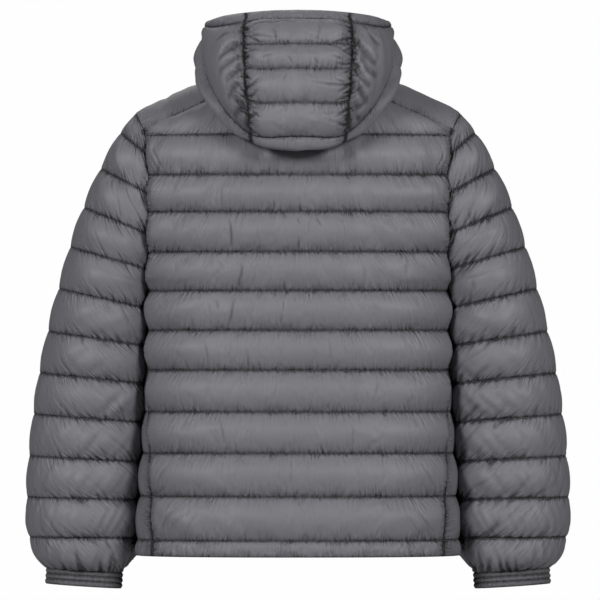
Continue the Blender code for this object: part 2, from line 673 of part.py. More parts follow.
# ---------------------------------------------------------------- build
for leftover in list(bpy.data.objects):
    bpy.data.objects.remove(leftover, do_unlink=True)
jacket = bpy.data.collections.new("puffer_jacket")
bpy.context.scene.collection.children.link(jacket)

shell_nylon = material("shell_nylon", (0.155, 0.155, 0.168), 0.45, 0.0)
cuff_nylon = material("cuff_nylon", (0.140, 0.140, 0.150), 0.6, 0.0)
tape_polyester = material("tape_polyester", (0.050, 0.050, 0.054), 0.8, 0.0)
zip_metal = material("zip_metal", (0.120, 0.120, 0.125), 0.35, 1.0)

back_columns = [(1 + share) / 2 for share in
                [-c for c in BACK_COLUMNS[:0:-1]] + list(BACK_COLUMNS)]
cloth_piece("back_panel", back_surface, back_columns, row_steps(len(BACK_LINES), 1),
            quilted(back_fill, 0, BACK_WIDTH), shell_nylon,
            (armhole_gap, armhole_gap, SHOULDER_GAP, 0))

for side, suffix in ((1, "left"), (-1, "right")):
    body_piece = sided_piece(side)
    body_piece("front_panel_" + suffix, front_surface, FRONT_COLUMNS,
               row_steps(len(FRONT_LINES), 1), quilted(front_fill, EDGE_RUN / 4, FRONT_WIDTH),
               shell_nylon, (0, armhole_gap, SHOULDER_GAP, 0))
    body_piece("side_panel_" + suffix, side_surface, SIDE_COLUMNS, row_steps(len(SIDE_LINES), 1),
               side_thickness, shell_nylon, (SEAM_GAP, SEAM_GAP, CLOSE_SEAM_GAP, 0))
    body_piece("sleeve_" + suffix, sleeve_loop, np.linspace(0, 1, SLEEVE_AROUND + 1),
               row_steps(int(SLEEVE[-1][0])), sleeve_thickness, shell_nylon,
               (armhole_gap, armhole_gap, CLOSE_SEAM_GAP, SLEEVE_END_GAP))
    body_piece("cuff_" + suffix, cuff_surface, np.linspace(0, 1, CUFF_AROUND + 1), (0, 0.5, 1),
               lambda u, row: np.full_like(u, CUFF_THICK), cuff_nylon,
               (SEAM_GAP, SEAM_GAP, CUFF_GAP, 0))
    body_piece("collar_side_" + suffix,
               neck_surface(("neck", "rise", "roll", "top"), (FRONT_NECK_ANGLE,) * 2,
                            (BACK_NECK_ANGLE,) * 2),
               NECK_SIDE_COLUMNS, between(COLLAR_LINES), collar_thickness(NECK_SIDE_WIDTH), shell_nylon,
               (0, SEAM_GAP, COLLAR_TOP_GAP, NECK_GAP))
    body_piece("hood_side_" + suffix,
               neck_surface(("top", "belly", "band"), (HOOD_FRONT_ANGLE,) * 2,
                            (BACK_NECK_ANGLE, HOOD_BAND_ANGLE)),
               NECK_SIDE_COLUMNS, between(HOOD_LINES), hood_side_thickness, shell_nylon,
               (0, SEAM_GAP, SEAM_GAP, COLLAR_TOP_GAP))
    body_piece("hood_band_side_" + suffix,
               neck_surface(("band", "rim"), (HOOD_FRONT_ANGLE,) * 2,
                            (HOOD_BAND_ANGLE, HOOD_RIM_ANGLE)),
               NECK_SIDE_COLUMNS, between((0, 1)),
               pad_thickness(HOOD_BAND_FILL, (0, 1), NECK_SIDE_WIDTH), shell_nylon,
               (0, SEAM_GAP, 0, SEAM_GAP))
    body_piece("zip_tape_" + suffix, tape_surface, (0, 1), zip_rows(),
               lambda u, row: np.full_like(u, TAPE_THICK), tape_polyester, (0, 0, 0, 0))

cloth_piece("collar_back",
            neck_surface(("neck", "rise", "roll", "top"), (BACK_NECK_ANGLE,) * 2,
                         (-BACK_NECK_ANGLE,) * 2),
            NECK_CENTRE_COLUMNS, between(COLLAR_LINES), collar_thickness(COLLAR_BACK_WIDTH), shell_nylon,
            (SEAM_GAP, SEAM_GAP, SEAM_GAP, NECK_GAP))
cloth_piece("hood_centre",
            neck_surface(("top", "belly", "band"), (BACK_NECK_ANGLE, HOOD_BAND_ANGLE),
                         (-BACK_NECK_ANGLE, -HOOD_BAND_ANGLE)),
            NECK_CENTRE_COLUMNS, between(HOOD_LINES),
            pad_thickness(HOOD_FILL, HOOD_LINES, HOOD_CENTRE_WIDTH), shell_nylon, (SEAM_GAP,) * 4)
cloth_piece("hood_band_centre",
            neck_surface(("band", "rim"), (HOOD_BAND_ANGLE, HOOD_RIM_ANGLE),
                         (-HOOD_BAND_ANGLE, -HOOD_RIM_ANGLE)),
            NECK_CENTRE_COLUMNS, between((0, 1)), pad_thickness(HOOD_BAND_FILL, (0, 1), HOOD_CENTRE_WIDTH),
            shell_nylon, (SEAM_GAP, SEAM_GAP, 0, SEAM_GAP))
cloth_piece("zip_chain", chain_surface, (0, 1), zip_rows(),
            lambda u, row: np.full_like(u, CHAIN_THICK), zip_metal, (0, 0, 0, 0))

slider_and_pull()
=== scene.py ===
"""Hooded puffer jacket: the looks of its quilted panels, stitching, cuffs and zip."""
import math
from types import SimpleNamespace

import bpy
import numpy as np
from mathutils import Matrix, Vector


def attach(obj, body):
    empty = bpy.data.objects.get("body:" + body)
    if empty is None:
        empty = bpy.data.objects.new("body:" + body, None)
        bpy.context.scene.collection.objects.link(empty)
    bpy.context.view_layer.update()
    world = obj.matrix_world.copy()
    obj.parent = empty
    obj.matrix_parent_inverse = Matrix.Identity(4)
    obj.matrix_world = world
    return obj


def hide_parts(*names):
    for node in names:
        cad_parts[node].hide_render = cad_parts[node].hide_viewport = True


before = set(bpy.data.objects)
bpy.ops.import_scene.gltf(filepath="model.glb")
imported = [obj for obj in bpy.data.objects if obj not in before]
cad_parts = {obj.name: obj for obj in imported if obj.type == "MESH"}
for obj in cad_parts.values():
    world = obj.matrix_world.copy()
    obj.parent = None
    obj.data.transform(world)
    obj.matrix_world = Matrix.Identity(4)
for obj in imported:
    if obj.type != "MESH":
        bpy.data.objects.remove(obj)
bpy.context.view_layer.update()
bpy.ops.object.select_all(action="DESELECT")

# ---------------------------------------------------------------- camera, light and floor
# A long lens looks level at the back of the jacket. Two equal soft boxes stand well to its
# left and right, a weak one lights the front, and a white room surrounds a pale floor.
VIEW_DISTANCE = 14.0
FRAME_WIDTH = 0.846             # metres of the jacket's plane across the picture
FRAME_CENTRE = (-0.0028, -0.308)
FLOOR_HEIGHT = -2.4


def linear(code):
    """Linear colour from an sRGB hex code."""
    channels = [int(code[i:i + 2], 16) / 255 for i in (1, 3, 5)]
    return [c / 12.92 if c <= 0.04045 else ((c + 0.055) / 1.055) ** 2.4 for c in channels] + [1]


def plug(node, **inputs):
    """Sets a node's inputs by name. A node, or a tuple of a node and its output, is a link."""
    for name, value in inputs.items():
        key = int(name[1:]) if name[0] == "_" else name.replace("_", " ")
        if isinstance(value, bpy.types.Node):
            value = (value, 0)
        if isinstance(value, tuple) and isinstance(value[0], bpy.types.Node):
            node.id_data.links.new(value[0].outputs[value[1]], node.inputs[key])
        else:
            node.inputs[key].default_value = value
    return node


def add(tree, kind, settings=None, **inputs):
    """One new node, with its own settings and its inputs."""
    node = tree.nodes.new("ShaderNode" + kind)
    for name, value in (settings or {}).items():
        setattr(node, name, value)
    return plug(node, **inputs)


def material(name):
    """A new material, with its node tree and its shader."""
    made = bpy.data.materials.new(name)
    made.use_nodes = True
    return made, made.node_tree, made.node_tree.nodes["Principled BSDF"]


def show(name, data):
    """A new object in the scene that holds the data."""
    made = bpy.data.objects.new(name, data)
    bpy.context.scene.collection.objects.link(made)
    return made


camera_data = bpy.data.cameras.new("camera")
camera_data.lens = camera_data.sensor_width * VIEW_DISTANCE / FRAME_WIDTH
camera = show("camera", camera_data)
camera.location = (FRAME_CENTRE[0], VIEW_DISTANCE, FRAME_CENTRE[1])
camera.rotation_euler = (math.radians(90), 0, math.radians(180))
bpy.context.scene.camera = camera
bpy.context.scene.view_settings.view_transform = "Standard"


def soft_box(name, place, target, size, watts):
    lamp = bpy.data.lights.new(name, "AREA")
    lamp.shape = "RECTANGLE"
    lamp.size, lamp.size_y = size
    lamp.energy = watts
    holder = show(name, lamp)
    holder.location = place
    holder.rotation_euler = (Vector(target) - Vector(place)).to_track_quat("-Z", "Y").to_euler()


for side in (1, -1):
    soft_box("key_light", (side * 2.83, 3.63, 1.55), (0, 0, -0.3), (1.2, 1.2), 184)
soft_box("front_light", (0.6, -3.2, 2.2), (0, 0, -0.3), (2.0, 1.6), 30)

world = bpy.data.worlds.new("studio")
bpy.context.scene.world = world
world.use_nodes = True
plug(world.node_tree.nodes["Background"], Color=(1, 1, 1, 1), Strength=0.06)


def plain_material(name, colour, glow):
    made, tree = material(name)[:2]
    tree.nodes.clear()
    if glow:
        shade = add(tree, "Emission", Color=colour, Strength=0.99)
    else:
        shade = add(tree, "BsdfDiffuse", Color=colour)
    add(tree, "OutputMaterial", Surface=shade)
    return made


bpy.ops.mesh.primitive_circle_add(vertices=64, radius=5, fill_type="NGON",
                                  location=(0, 0, FLOOR_HEIGHT))
floor = bpy.context.object
floor.name = "floor"
floor.data.materials.append(plain_material("white_vinyl", linear("#d0d0d0"), False))
bpy.ops.mesh.primitive_uv_sphere_add(segments=32, ring_count=16, radius=40)
room = bpy.context.object
room.name = "room"
room.data.materials.append(plain_material("white_room", (1, 1, 1, 1), True))
for path in ("diffuse", "glossy", "transmission", "volume_scatter", "shadow"):
    setattr(room, "visible_" + path, False)
bpy.ops.object.select_all(action="DESELECT")

# ---------------------------------------------------------------- back panel
# One piece of down-filled nylon from the neck and shoulders to the hem, stitched through to its
# lining along eleven level lines. Its first row is the smooth yoke, its last the flat hem.
MM = 0.001
LINE_THICK = 0.0016         # both shells and the flattened down under a line of stitches
EDGE_THICK = 0.0014         # the same along a seam
BODY_FILL = 0.0150          # thickest place of a body row
HEM_FILL = 0.0048
YOKE_FILL = 0.55            # share of the body's fill that the back's first row holds
FRONT_YOKE_FILL = 0.5
EDGE_RUN = 0.020            # a row swells to its full height over this run from a side seam
SWELL_POWER = 0.88
FILL_UNEVEN = 0.045         # how unevenly the down lies, as a share of the thickness
CLUMPS = (0.018, 0.075)     # shortest and longest clump of down
GRID = 0.0040               # columns of the simulated cloth; the finished shell has twice as many
BACK_GRID = 0.0030
ROW_STEPS = 12              # places of the simulated cloth from one line to the next
ROW_CROWDING = 0.42         # how much closer together they are beside the lines
BACK_LINES = (-0.077, -0.133, -0.185, -0.241, -0.2955, -0.351, -0.407, -0.4655, -0.5235,
              -0.584, -0.6455, -0.668)

# The body's level sections in mm, each at its drop below the origin: the place of the seam to the
# side panel, the middle of the side, back and front, and what the side panel holds.
TORSO_COLUMNS = ("drop", "seam_x", "seam_y", "side_x", "back_y", "front_y", "side_fill")
TORSO = (
    (20, 230, 25, 231, 80, 70, 3),
    (48, 229, 25, 229.6, 90.5, 79.5, 3),
    (63, 220, 25, 221.5, 96.5, 88.5, 3),
    (77, 215, 25, 217, 102, 95.5, 3),
    (117, 210.8, 25, 213, 113, 108, 3),
    (162, 210.2, 25, 212.5, 119, 117, 3),
    (207, 210.6, 25, 212.5, 120, 122, 3),
    (251, 210, 25, 212, 117.5, 124, 3),
    (286, 210, 25, 211.2, 115, 124, 3),
    (351, 210, 25, 211.2, 113, 124, 3.2),
    (407, 209.4, 28, 211.8, 114, 125, 4),
    (466, 208.2, 36, 214, 117, 126, 5.5),
    (524, 206.2, 47, 216.8, 121, 127, 6.8),
    (584, 204.2, 57, 220.3, 125, 129, 7.8),
    (646, 202.2, 66, 224, 128, 131, 8),
    (668, 202.6, 67, 226.8, 129, 132, 8),
)
SECTION_POWER = 2.4             # of the level sections: 2 is an ellipse, more is squarer
NECK_COLUMN = 0.38              # share of the top edge that the neckline takes
ARMHOLE_HEIGHT = -0.168
ARMHOLE_HALF_HEIGHT = 0.1205
ARMHOLE_HALF_DEPTH = 0.068

# Points of the shoulder seam in mm, each at its share of the way from the back's middle.
SHOULDER_SEAM_COLUMNS = ("column", "x", "y", "z")
SHOULDER_SEAM = (
    (0.38, 76, 26, -1),
    (0.6, 123, 48, -27),
    (0.8, 174, 50, -51),
    (0.94, 205, 44.5, -65),
    (1, 217.2, 40.5, -69),
)
YOKE_BULGE = 0.004

# Rings of the collar and hood. At each angle from the back's middle, in degrees: how far every
# ring is from the neck's axis and its height, in mm.
NECK_COLUMNS = ("angle", "neck", "rise", "roll", "top", "belly", "band", "rim")
NECK = (
    (0, (80, -20), (96, 34), (158, -145), (172, -80), (205, 25), (126, 84), (106, 97)),
    (23, (80, -18), (96, 36), (155, -124), (168, -76), (200, 25), (128, 83), (108, 96)),
    (37, (80, -13), (96, 38), (154, -112), (160, -48), (186, 30), (135, 79), (115, 94)),
    (56, (80, -6), (98, 36), (184, -52), (149, 0), (154, 44), (138, 74), (124, 90)),
    (75, (80, 1), (104, 34), (161, -12), (136, 46), (133, 60), (133, 76), (124, 85)),
    (90, (80, 5), (98, 38), (160, -4), (132, 62), (130, 68), (130, 76), (120, 83)),
    (112, (82, -11), (90, 26), (138, 8), (120, 58), (119, 65), (117, 72), (110, 79)),
    (143, (86, -40), (88, -4), (122, 6), (114, 42), (114, 50), (110, 56), (103, 64)),
    (180, (88, -62), (92, -38), (112, -10), (112, 25), (112, 33), (109, 38), (103, 46)),
)
SHOULDER_ANGLE = 71.1           # of the neckline's point where the shoulder seam starts

# Long creases of the back: x and z where each starts and ends, its depth and its width, in mm.
BACK_CREASES = (
    (109, -146, 108, -180, 1.1, 1.6),
    (96, -191, 95, -238, 2.0, 1.8),
    (1, -192, -3, -204, 1.5, 1.5),
    (0, -216, 0, -240, 1.5, 1.5),
    (-25, -190, -33, -206, 1.6, 1.6),
    (35, -166, 32, -184, 1.2, 1.5),
    (-18, -168, -24, -184, 1.2, 1.5),
    (78, -258, 82, -291, 2.1, 1.8),
    (112, -250, 106, -266, 1.0, 1.5),
    (18, -280, 21, -293, 1.2, 1.5),
    (90, -303, 97, -346, 1.9, 1.8),
    (116, -303, 112, -324, 1.2, 1.6),
    (20, -306, 23, -328, 1.4, 1.6),
    (23, -325, 26, -344, 1.2, 1.5),
    (196, -574, 176, -535, 1.0, 2.0),
    (193, -636, 165, -595, 1.1, 2.2),
    (182, -638, 148, -599, 1.0, 2.2),
    (158, -640, 137, -605, 0.9, 2.0),
    (-194, -576, -172, -534, 1.0, 2.0),
    (-192, -634, -163, -596, 1.1, 2.2),
    (-176, -640, -150, -602, 0.9, 2.2),
    (207, -92, 190, -124, 1.0, 1.6),
    (208, -104, 197, -128, 1.0, 1.5),
    (207, -74, 186, -79, 0.8, 1.5),
    (-207, -94, -192, -126, 1.0, 1.6),
    (-208, -108, -199, -130, 1.0, 1.5),
    (-206, -73, -184, -80, 0.8, 1.5),
    (120, -140, 124, -160, 0.8, 1.5),
    (55, -200, 60, -232, 0.9, 1.6),
    (-60, -196, -66, -226, 0.9, 1.6),
    (60, -262, 64, -284, 0.9, 1.5),
    (-88, -250, -92, -288, 1.0, 1.6),
    (132, -360, 126, -398, 1.0, 1.6),
    (-40, -356, -44, -396, 1.1, 1.7),
    (74, -372, 70, -404, 1.0, 1.6),
    (-110, -412, -104, -452, 1.0, 1.7),
    (30, -414, 36, -448, 1.0, 1.6),
    (110, -470, 104, -512, 1.1, 1.7),
    (-70, -474, -76, -516, 1.0, 1.7),
    (8, -530, 14, -570, 1.0, 1.7),
)
PLAIN_LOOKS = {"creases": (), "gathers": 1.0, "sides": 1.0, "drawn": 0.0, "reach": 1.0,
               "knotted": 1.0, "pleats": None, "slot": "shell_nylon"}
padded_pieces = []


def through(stations, values, place):
    """Smooth curve through a table's rows, read at any place."""
    stations = np.asarray(stations, float)
    values = np.asarray(values, float)
    slopes = np.gradient(values, stations)
    place = np.clip(np.asarray(place, float), stations[0], stations[-1])
    row = np.clip(np.searchsorted(stations, place, side="right") - 1, 0, len(stations) - 2)
    step = stations[row + 1] - stations[row]
    t = (place - stations[row]) / step
    rise = (1 + 2 * t) * (1 - t) ** 2 * values[row] + t * t * (3 - 2 * t) * values[row + 1]
    return rise + step * (t * (1 - t) ** 2 * slopes[row] + t * t * (t - 1) * slopes[row + 1])


def read(table, names, name, place, part=None):
    """One column of a table in mm, as a smooth curve over its first column, in metres."""
    values = [row[names.index(name)] for row in table]
    if part is not None:
        values = [value[part] for value in values]
    return through([row[0] for row in table], values, place) * MM


def torso(height, name):
    return read(TORSO, TORSO_COLUMNS, name, np.asarray(height, float) / -MM)


def stack(x, y, z):
    return np.stack(np.broadcast_arrays(x, y, z), axis=-1)


def unit(values):
    return np.clip(values, 0, 1)


def mix(low, high, share):
    return low + (high - low) * share


def armhole_depth(height):
    reach = np.clip((height - ARMHOLE_HEIGHT) / ARMHOLE_HALF_HEIGHT, -1, 1)
    return ARMHOLE_HALF_DEPTH * np.sqrt(1 - reach ** 2)


def armhole_height(depth, way):
    """Height of the armhole's upper (way 1) or lower (-1) edge at a depth from its middle."""
    reach = np.clip(depth / ARMHOLE_HALF_DEPTH, -1, 1)
    return ARMHOLE_HEIGHT + way * ARMHOLE_HALF_HEIGHT * np.sqrt(1 - reach ** 2)


def body_section(share, height, face, start_x=0.0):
    """Point of the back ("back_y") or front ("front_y") at a share of the way to its seam."""
    depth = torso(height, face)
    seam_x = torso(height, "seam_x")
    edge = np.maximum(armhole_depth(height), torso(height, "seam_y"))
    reach = seam_x / (1 - (edge / depth) ** SECTION_POWER) ** (1 / SECTION_POWER)
    last = np.arcsin((seam_x / reach) ** (SECTION_POWER / 2))
    first = np.arcsin((start_x / reach) ** (SECTION_POWER / 2))
    angle = mix(first, last, np.abs(share) ** (SECTION_POWER / 2))
    x = np.where(share < 0, -1, 1) * reach * np.sin(angle) ** (2 / SECTION_POWER)
    y = depth * np.cos(angle) ** (2 / SECTION_POWER)
    return stack(x, y if face == "back_y" else -y, height)


def shoulder_seam(share):
    """Point of the wearer's left shoulder seam, or of the right one where share is negative."""
    x, y, z = (read(SHOULDER_SEAM, SHOULDER_SEAM_COLUMNS, axis, np.abs(share))
               for axis in ("x", "y", "z"))
    return stack(np.sign(share) * x, y, z)


def neck_ring(name, angle):
    """Distance from the neck's axis and height of one ring of the neck table."""
    return [read(NECK, NECK_COLUMNS, name, np.abs(angle), part) for part in (0, 1)]


def around(reach, height, angle):
    turn = np.radians(angle)
    return stack(reach * np.sin(turn), reach * np.cos(turn), height)


def top_edge(share, neck_angle):
    """Top edge of a body panel: the neckline up to the shoulder, then the shoulder seam."""
    neck = around(*neck_ring("neck", neck_angle), neck_angle)
    return np.where((np.abs(share) <= NECK_COLUMN)[..., None], neck, shoulder_seam(share))


def line_height(lines, row):
    return np.interp(row, np.arange(1, len(lines) + 1), lines)


def back_surface(u, row):
    share = 1 - 2 * u
    neck_angle = np.clip(share / NECK_COLUMN, -1, 1) * SHOULDER_ANGLE
    below = unit(row)
    bulge = YOKE_BULGE * np.sin(math.pi * below)
    level = body_section(share, line_height(BACK_LINES, row), "back_y")
    return mix(top_edge(share, neck_angle), level, below[..., None]) + stack(0, bulge, bulge)


def outward(points):
    """Outward normals of a grid of points that runs left to right and top to bottom."""
    down = np.gradient(points, axis=0)
    right = np.gradient(points, axis=1)
    normal = np.cross(down, right)
    return normal / np.maximum(np.linalg.norm(normal, axis=-1, keepdims=True), 1e-12)


def arc(points, axis):
    """Mean length along a grid, from its first edge, as one number for each place."""
    steps = np.linalg.norm(np.diff(points, axis=axis), axis=-1).mean(axis=1 - axis)
    return np.concatenate(([0], np.cumsum(steps)))


def ripple(seed, place, finest, coarsest, count=14):
    """Uneven wave along a line, about 1 high, with wavelengths between the two given."""
    rng = np.random.default_rng(seed)
    lengths = np.exp(rng.uniform(math.log(finest), math.log(coarsest), count))
    starts = rng.uniform(0, 2 * math.pi, count)
    return sum(np.sin(2 * math.pi * place / length + start)
               for length, start in zip(lengths, starts)) / math.sqrt(count / 2)


def padded_grid(name, node, surface, width, rows, thickness, seed, lean, lines, grid=GRID,
                **looks):
    """A piece's outer shell as a grid, ready for its down, with its quilting lines held.

    node is the CAD solid that it replaces. rows are the grid's rows, lines the rows that are
    stitched. lean is how far a gather goes to the right as it rises, at the piece's left edge
    and right edge. gathers and sides are how strong the gathers are along the lines and along
    the side seams, and drawn is how much stronger they are along the lines near a side seam.
    reach is how far they run out of a line, and knotted how far the painted shade beside a
    side seam reaches.
    pleats rise from the last line.
    """
    u, row = np.meshgrid(np.linspace(0, 1, round(width / grid) + 1), rows)
    inner = surface(u, row)
    normal = outward(inner)
    along, down = arc(inner, 1), arc(inner, 0)
    line_places = np.interp(lines, rows, down)
    below = np.clip(np.searchsorted(line_places, down + 1e-7, side="right") - 1, 0, len(lines) - 2)
    gap = np.minimum(down - line_places[below], line_places[below + 1] - down)
    uneven = np.zeros_like(u)
    for index in range(len(lines) - 1):
        here = (below == index)[:, None]
        slant = along[None, :] + np.interp(along, (0, along[-1]), lean)[None, :] * down[:, None]
        uneven += here * ripple(seed + index, slant, *CLUMPS)
    inside = unit(gap / 0.012)[:, None] * unit(np.minimum(along, along[-1] - along) / 0.012)
    thick = thickness(u, row) * (1 + FILL_UNEVEN * uneven * inside)
    shell = inner + normal * thick[..., None]
    held = np.zeros_like(u, bool)
    held[np.isclose(rows[:, None], np.asarray(lines)[None, :]).any(1)] = True
    held[:, 0] = held[:, -1] = True
    padded_pieces.append(SimpleNamespace(
        **{**PLAIN_LOOKS, **looks}, piece=grid_object(name, shell), inner=inner, shell=shell,
        held=held, along=along, down=down, lines=line_places, seed=seed, lean=lean, node=node))


def mesh_object(name, points, faces):
    mesh = bpy.data.meshes.new(name)
    mesh.from_pydata(points.reshape(-1, 3).tolist(), [], faces)
    return show(name, mesh)


def grid_index(grid, first=0):
    """The numbers of a grid's points, and the corners of its quads, facing outwards."""
    index = first + np.arange(grid.shape[0] * grid.shape[1]).reshape(grid.shape[:2])
    quads = np.stack((index[:-1, :-1], index[1:, :-1], index[1:, 1:], index[:-1, 1:]), -1)
    return index, quads.reshape(-1, 4)


def grid_object(name, points):
    return mesh_object(name, points, grid_index(points)[1].tolist())


def row_places(lines, steps, last=None):
    """Grid rows for a panel, closest together beside its lines. last is for a flat last row."""
    t = np.linspace(0, 1, steps + 1)[1:]
    t = t - ROW_CROWDING * np.sin(2 * math.pi * t) / (2 * math.pi)
    rows = [index + (t if last is None or index < lines - 1 else np.linspace(0, 1, last + 1)[1:])
            for index in range(lines)]
    return np.concatenate([[0]] + rows)


def between(lines, height, least=3):
    """Grid rows over lines at shares of a piece's height, at least so many from line to line."""
    rows = [np.linspace(low, high, max(least, round((high - low) * height / GRID)) + 1)
            for low, high in zip(lines, lines[1:])]
    return np.unique(np.round(np.concatenate(rows), 9))


def fullness(fraction):
    """Section of a filled row: nothing on its two lines and 1 between."""
    return np.sin(math.pi * unit(fraction)) ** SWELL_POWER


def body_thickness(full, edge_left, width):
    def thickness(u, row):
        fraction = row - np.floor(row)
        hem = row > len(BACK_LINES) - 1
        from_edge = np.minimum(u * width + edge_left, (1 - u) * width)
        edge = unit(from_edge / EDGE_RUN) ** 0.6
        base = EDGE_THICK + (LINE_THICK - EDGE_THICK) * edge * unit(row * 3)
        return base + (np.where(hem, HEM_FILL, full(u, row)) - base) * fullness(fraction) * edge
    return thickness


def back_fill(u, row):
    tip = np.interp(np.abs(1 - 2 * u), (0.5, 1), (1, 0.1))
    return mix(LINE_THICK, BODY_FILL, np.where(row < 1, YOKE_FILL * tip, 1))


back_lines = len(BACK_LINES)
padded_grid("back_shell", "back_panel", back_surface, 0.46, row_places(back_lines, ROW_STEPS, 6),
            body_thickness(back_fill, 0, 0.42), 100, (0.5, -0.5), range(back_lines + 1),
            grid=BACK_GRID, creases=BACK_CREASES, sides=1.7, drawn=0.4, knotted=2.1)

# ---------------------------------------------------------------- fronts
# The two fronts are cut like the back, and wrap over the shoulder to a seam behind it.
FRONT_LINES = (-0.086, -0.140, -0.193, -0.245) + BACK_LINES[4:]

# How far a front is lifted over the shoulder, at shares of the way from the zip to the armhole
SHOULDER_LIFT = ((0.0, 0.19, 0.38, 0.60, 0.80, 0.94, 1.0),
                 (0.004, 0.012, 0.046, 0.086, 0.080, 0.066, 0.058))
SHOULDER_LIFT_FORWARD = 0.15
ARM_END_SHARE = 0.8
ZIP_HALF_OPENING = 0.006


def armhole_over(row):
    """The armhole from the shoulder seam over the top to the front's first line."""
    behind = math.asin(shoulder_seam(1.0)[1] / ARMHOLE_HALF_DEPTH)
    ahead = math.acos((FRONT_LINES[0] - ARMHOLE_HEIGHT) / ARMHOLE_HALF_HEIGHT)
    turn = behind - (behind + ahead) * row
    height = ARMHOLE_HEIGHT + ARMHOLE_HALF_HEIGHT * np.cos(turn)
    return stack(torso(height, "seam_x"), ARMHOLE_HALF_DEPTH * np.sin(turn), height)


def front_surface(u, row):
    """The wearer's left front, from the zip (u = 0) to the armhole and side seam."""
    zip_angle = 180 - math.degrees(ZIP_HALF_OPENING / (NECK[-1][1][0] * MM))
    top = top_edge(u, mix(zip_angle, SHOULDER_ANGLE, unit(u / NECK_COLUMN)))
    below = unit(row)
    lift = through(*SHOULDER_LIFT, u) * 2 * below * (1 - below)
    level = body_section(u, line_height(FRONT_LINES, row), "front_y", ZIP_HALF_OPENING)
    over = mix(top, level, below[..., None]) + stack(0, -SHOULDER_LIFT_FORWARD * lift, lift)
    near = unit((u - ARM_END_SHARE) / (1 - ARM_END_SHARE)) ** 2 * (row < 1)
    return mix(over, armhole_over(below), near[..., None])


def front_fill(u, row):
    return mix(LINE_THICK, BODY_FILL, np.where(row < 1, FRONT_YOKE_FILL * unit(0.3 + 2 * u), 1))


def mirrored(surface):
    return lambda u, row: surface(1 - u, row) * np.array((-1, 1, 1))


def flipped(thickness):
    return lambda u, row: thickness(1 - u, row)


def pair(name, node, surface, width, rows, thickness, seed, lean, lines, creases=(), **others):
    """The wearer's left piece and the right one, each with its own gathers."""
    padded_grid(name + "_left", node + "_left", surface, width, rows, thickness, seed, lean, lines,
                creases=creases, **others)
    moved = [(-x0, z0 - 3, -x1 - 4, z1 + 2, depth, wide)
             for x0, z0, x1, z1, depth, wide in creases]
    padded_grid(name + "_right", node + "_right", mirrored(surface), width, rows,
                flipped(thickness), seed + 3000, (-lean[1], -lean[0]), lines, creases=moved, **others)


pair("front_shell", "front_panel", front_surface, 0.25, row_places(back_lines, 10, 5),
     body_thickness(front_fill, 0.006, 0.24), 200, (0.1, 0.5), range(back_lines + 1))

# ---------------------------------------------------------------- side panels
# A narrow piece closes the body under each arm and lets it out towards the hem.
SIDE_LINES = BACK_LINES[5:]
SIDE_PANEL_TOP_HALF = 0.025     # half the panel's width at the armhole


def side_surface(u, row):
    """The wearer's left side panel, from the front seam (u = 0) to the back seam."""
    across = 2 * u - 1
    top = armhole_height(SIDE_PANEL_TOP_HALF * across, -1)
    height = np.where(row < 1, mix(top, SIDE_LINES[0], unit(row)), line_height(SIDE_LINES, row))
    x = mix(torso(height, "seam_x"), torso(height, "side_x"), 1 - across ** 2)
    return stack(x, torso(height, "seam_y") * across, height)


def side_thickness(u, row):
    height = line_height(SIDE_LINES, row)
    skipped = len(BACK_LINES) - len(SIDE_LINES)
    return body_thickness(lambda u, row: torso(height, "side_fill"), 0, 0.07)(u, row + skipped)


pair("side_shell", "side_panel", side_surface, 0.10, row_places(len(SIDE_LINES), ROW_STEPS, 6),
     side_thickness, 300, (0.3, -0.3), range(len(SIDE_LINES) + 1), knotted=2.8)

# ---------------------------------------------------------------- sleeves
# Each sleeve is one piece, sewn into the armhole and quilted in twelve rows. The last row is
# drawn in to the cuff.
SLEEVE_GAP = 0.001          # between its top edge and the armhole's
SLEEVE_INWARD = 0.026       # how far its front inner side leans in behind the body
SLEEVE_SQUARE = 0.27        # how squarely its back turns in against the body
SLEEVE_FILL = 0.0042        # of its outside, where the rows barely swell
SLEEVE_FACE_FILL = 0.0095   # what its front and back hold over that
SLEEVE_FACE = (0.50, 0.26)  # where and how broadly they do, from the outside to the edges
SLEEVE_LAST_FILL = 0.003    # what the outside of the last row holds over that
SLEEVE_LEAN_END = 0.22      # how far round it leans in
SLEEVE_COLUMNS = ("row", "outer_x", "outer_z", "inner_x", "inner_z", "half_depth", "forward",
                  "inside_fill")
SLEEVE = (
    (0, 229.6, -47, 225.5, -55.2, 21.2, 0, 4.5),
    (1, 248.5, -73.8, 213, -105, 61, 0, 4.5),
    (2, 275.8, -124, 211, -159.6, 70.5, 0, 4.5),
    (3, 299.8, -178.5, 211, -215.5, 74.5, 0, 4.5),
    (4, 318.8, -234, 210.5, -265.7, 76, 1, 4.5),
    (4.333, 324.4, -253.5, 216, -286, 76.2, 1, 4),
    (4.667, 329.8, -273, 216.4, -301, 75.7, 2, 5),
    (5, 335, -292.5, 216.6, -319.2, 75, 3, 6),
    (6, 350, -352.5, 217.8, -372.4, 73, 7, 6),
    (7, 362.2, -411, 219.2, -425.6, 71.5, 11, 6),
    (8, 370.6, -469, 223, -480.2, 70, 14, 6),
    (9, 376.8, -528, 226.4, -535.6, 68, 17, 6),
    (10, 380.2, -586, 230.2, -589.1, 66.5, 20, 6),
    (11, 376.8, -641.8, 236.2, -642.9, 63, 22, 6),
    (12, 353, -685.8, 250, -692.5, 42, 24, 5),
)
sleeve_rows = int(SLEEVE[-1][0])
UNDERARM_ROW = 4.333                    # where the sleeve leaves the armhole
CUFF_PLEATS = (24, 36.0, 4.8, 2.9)      # how many, and their length, depth and width in mm


def sleeve_size(row, name):
    return read(SLEEVE, SLEEVE_COLUMNS, name, row)


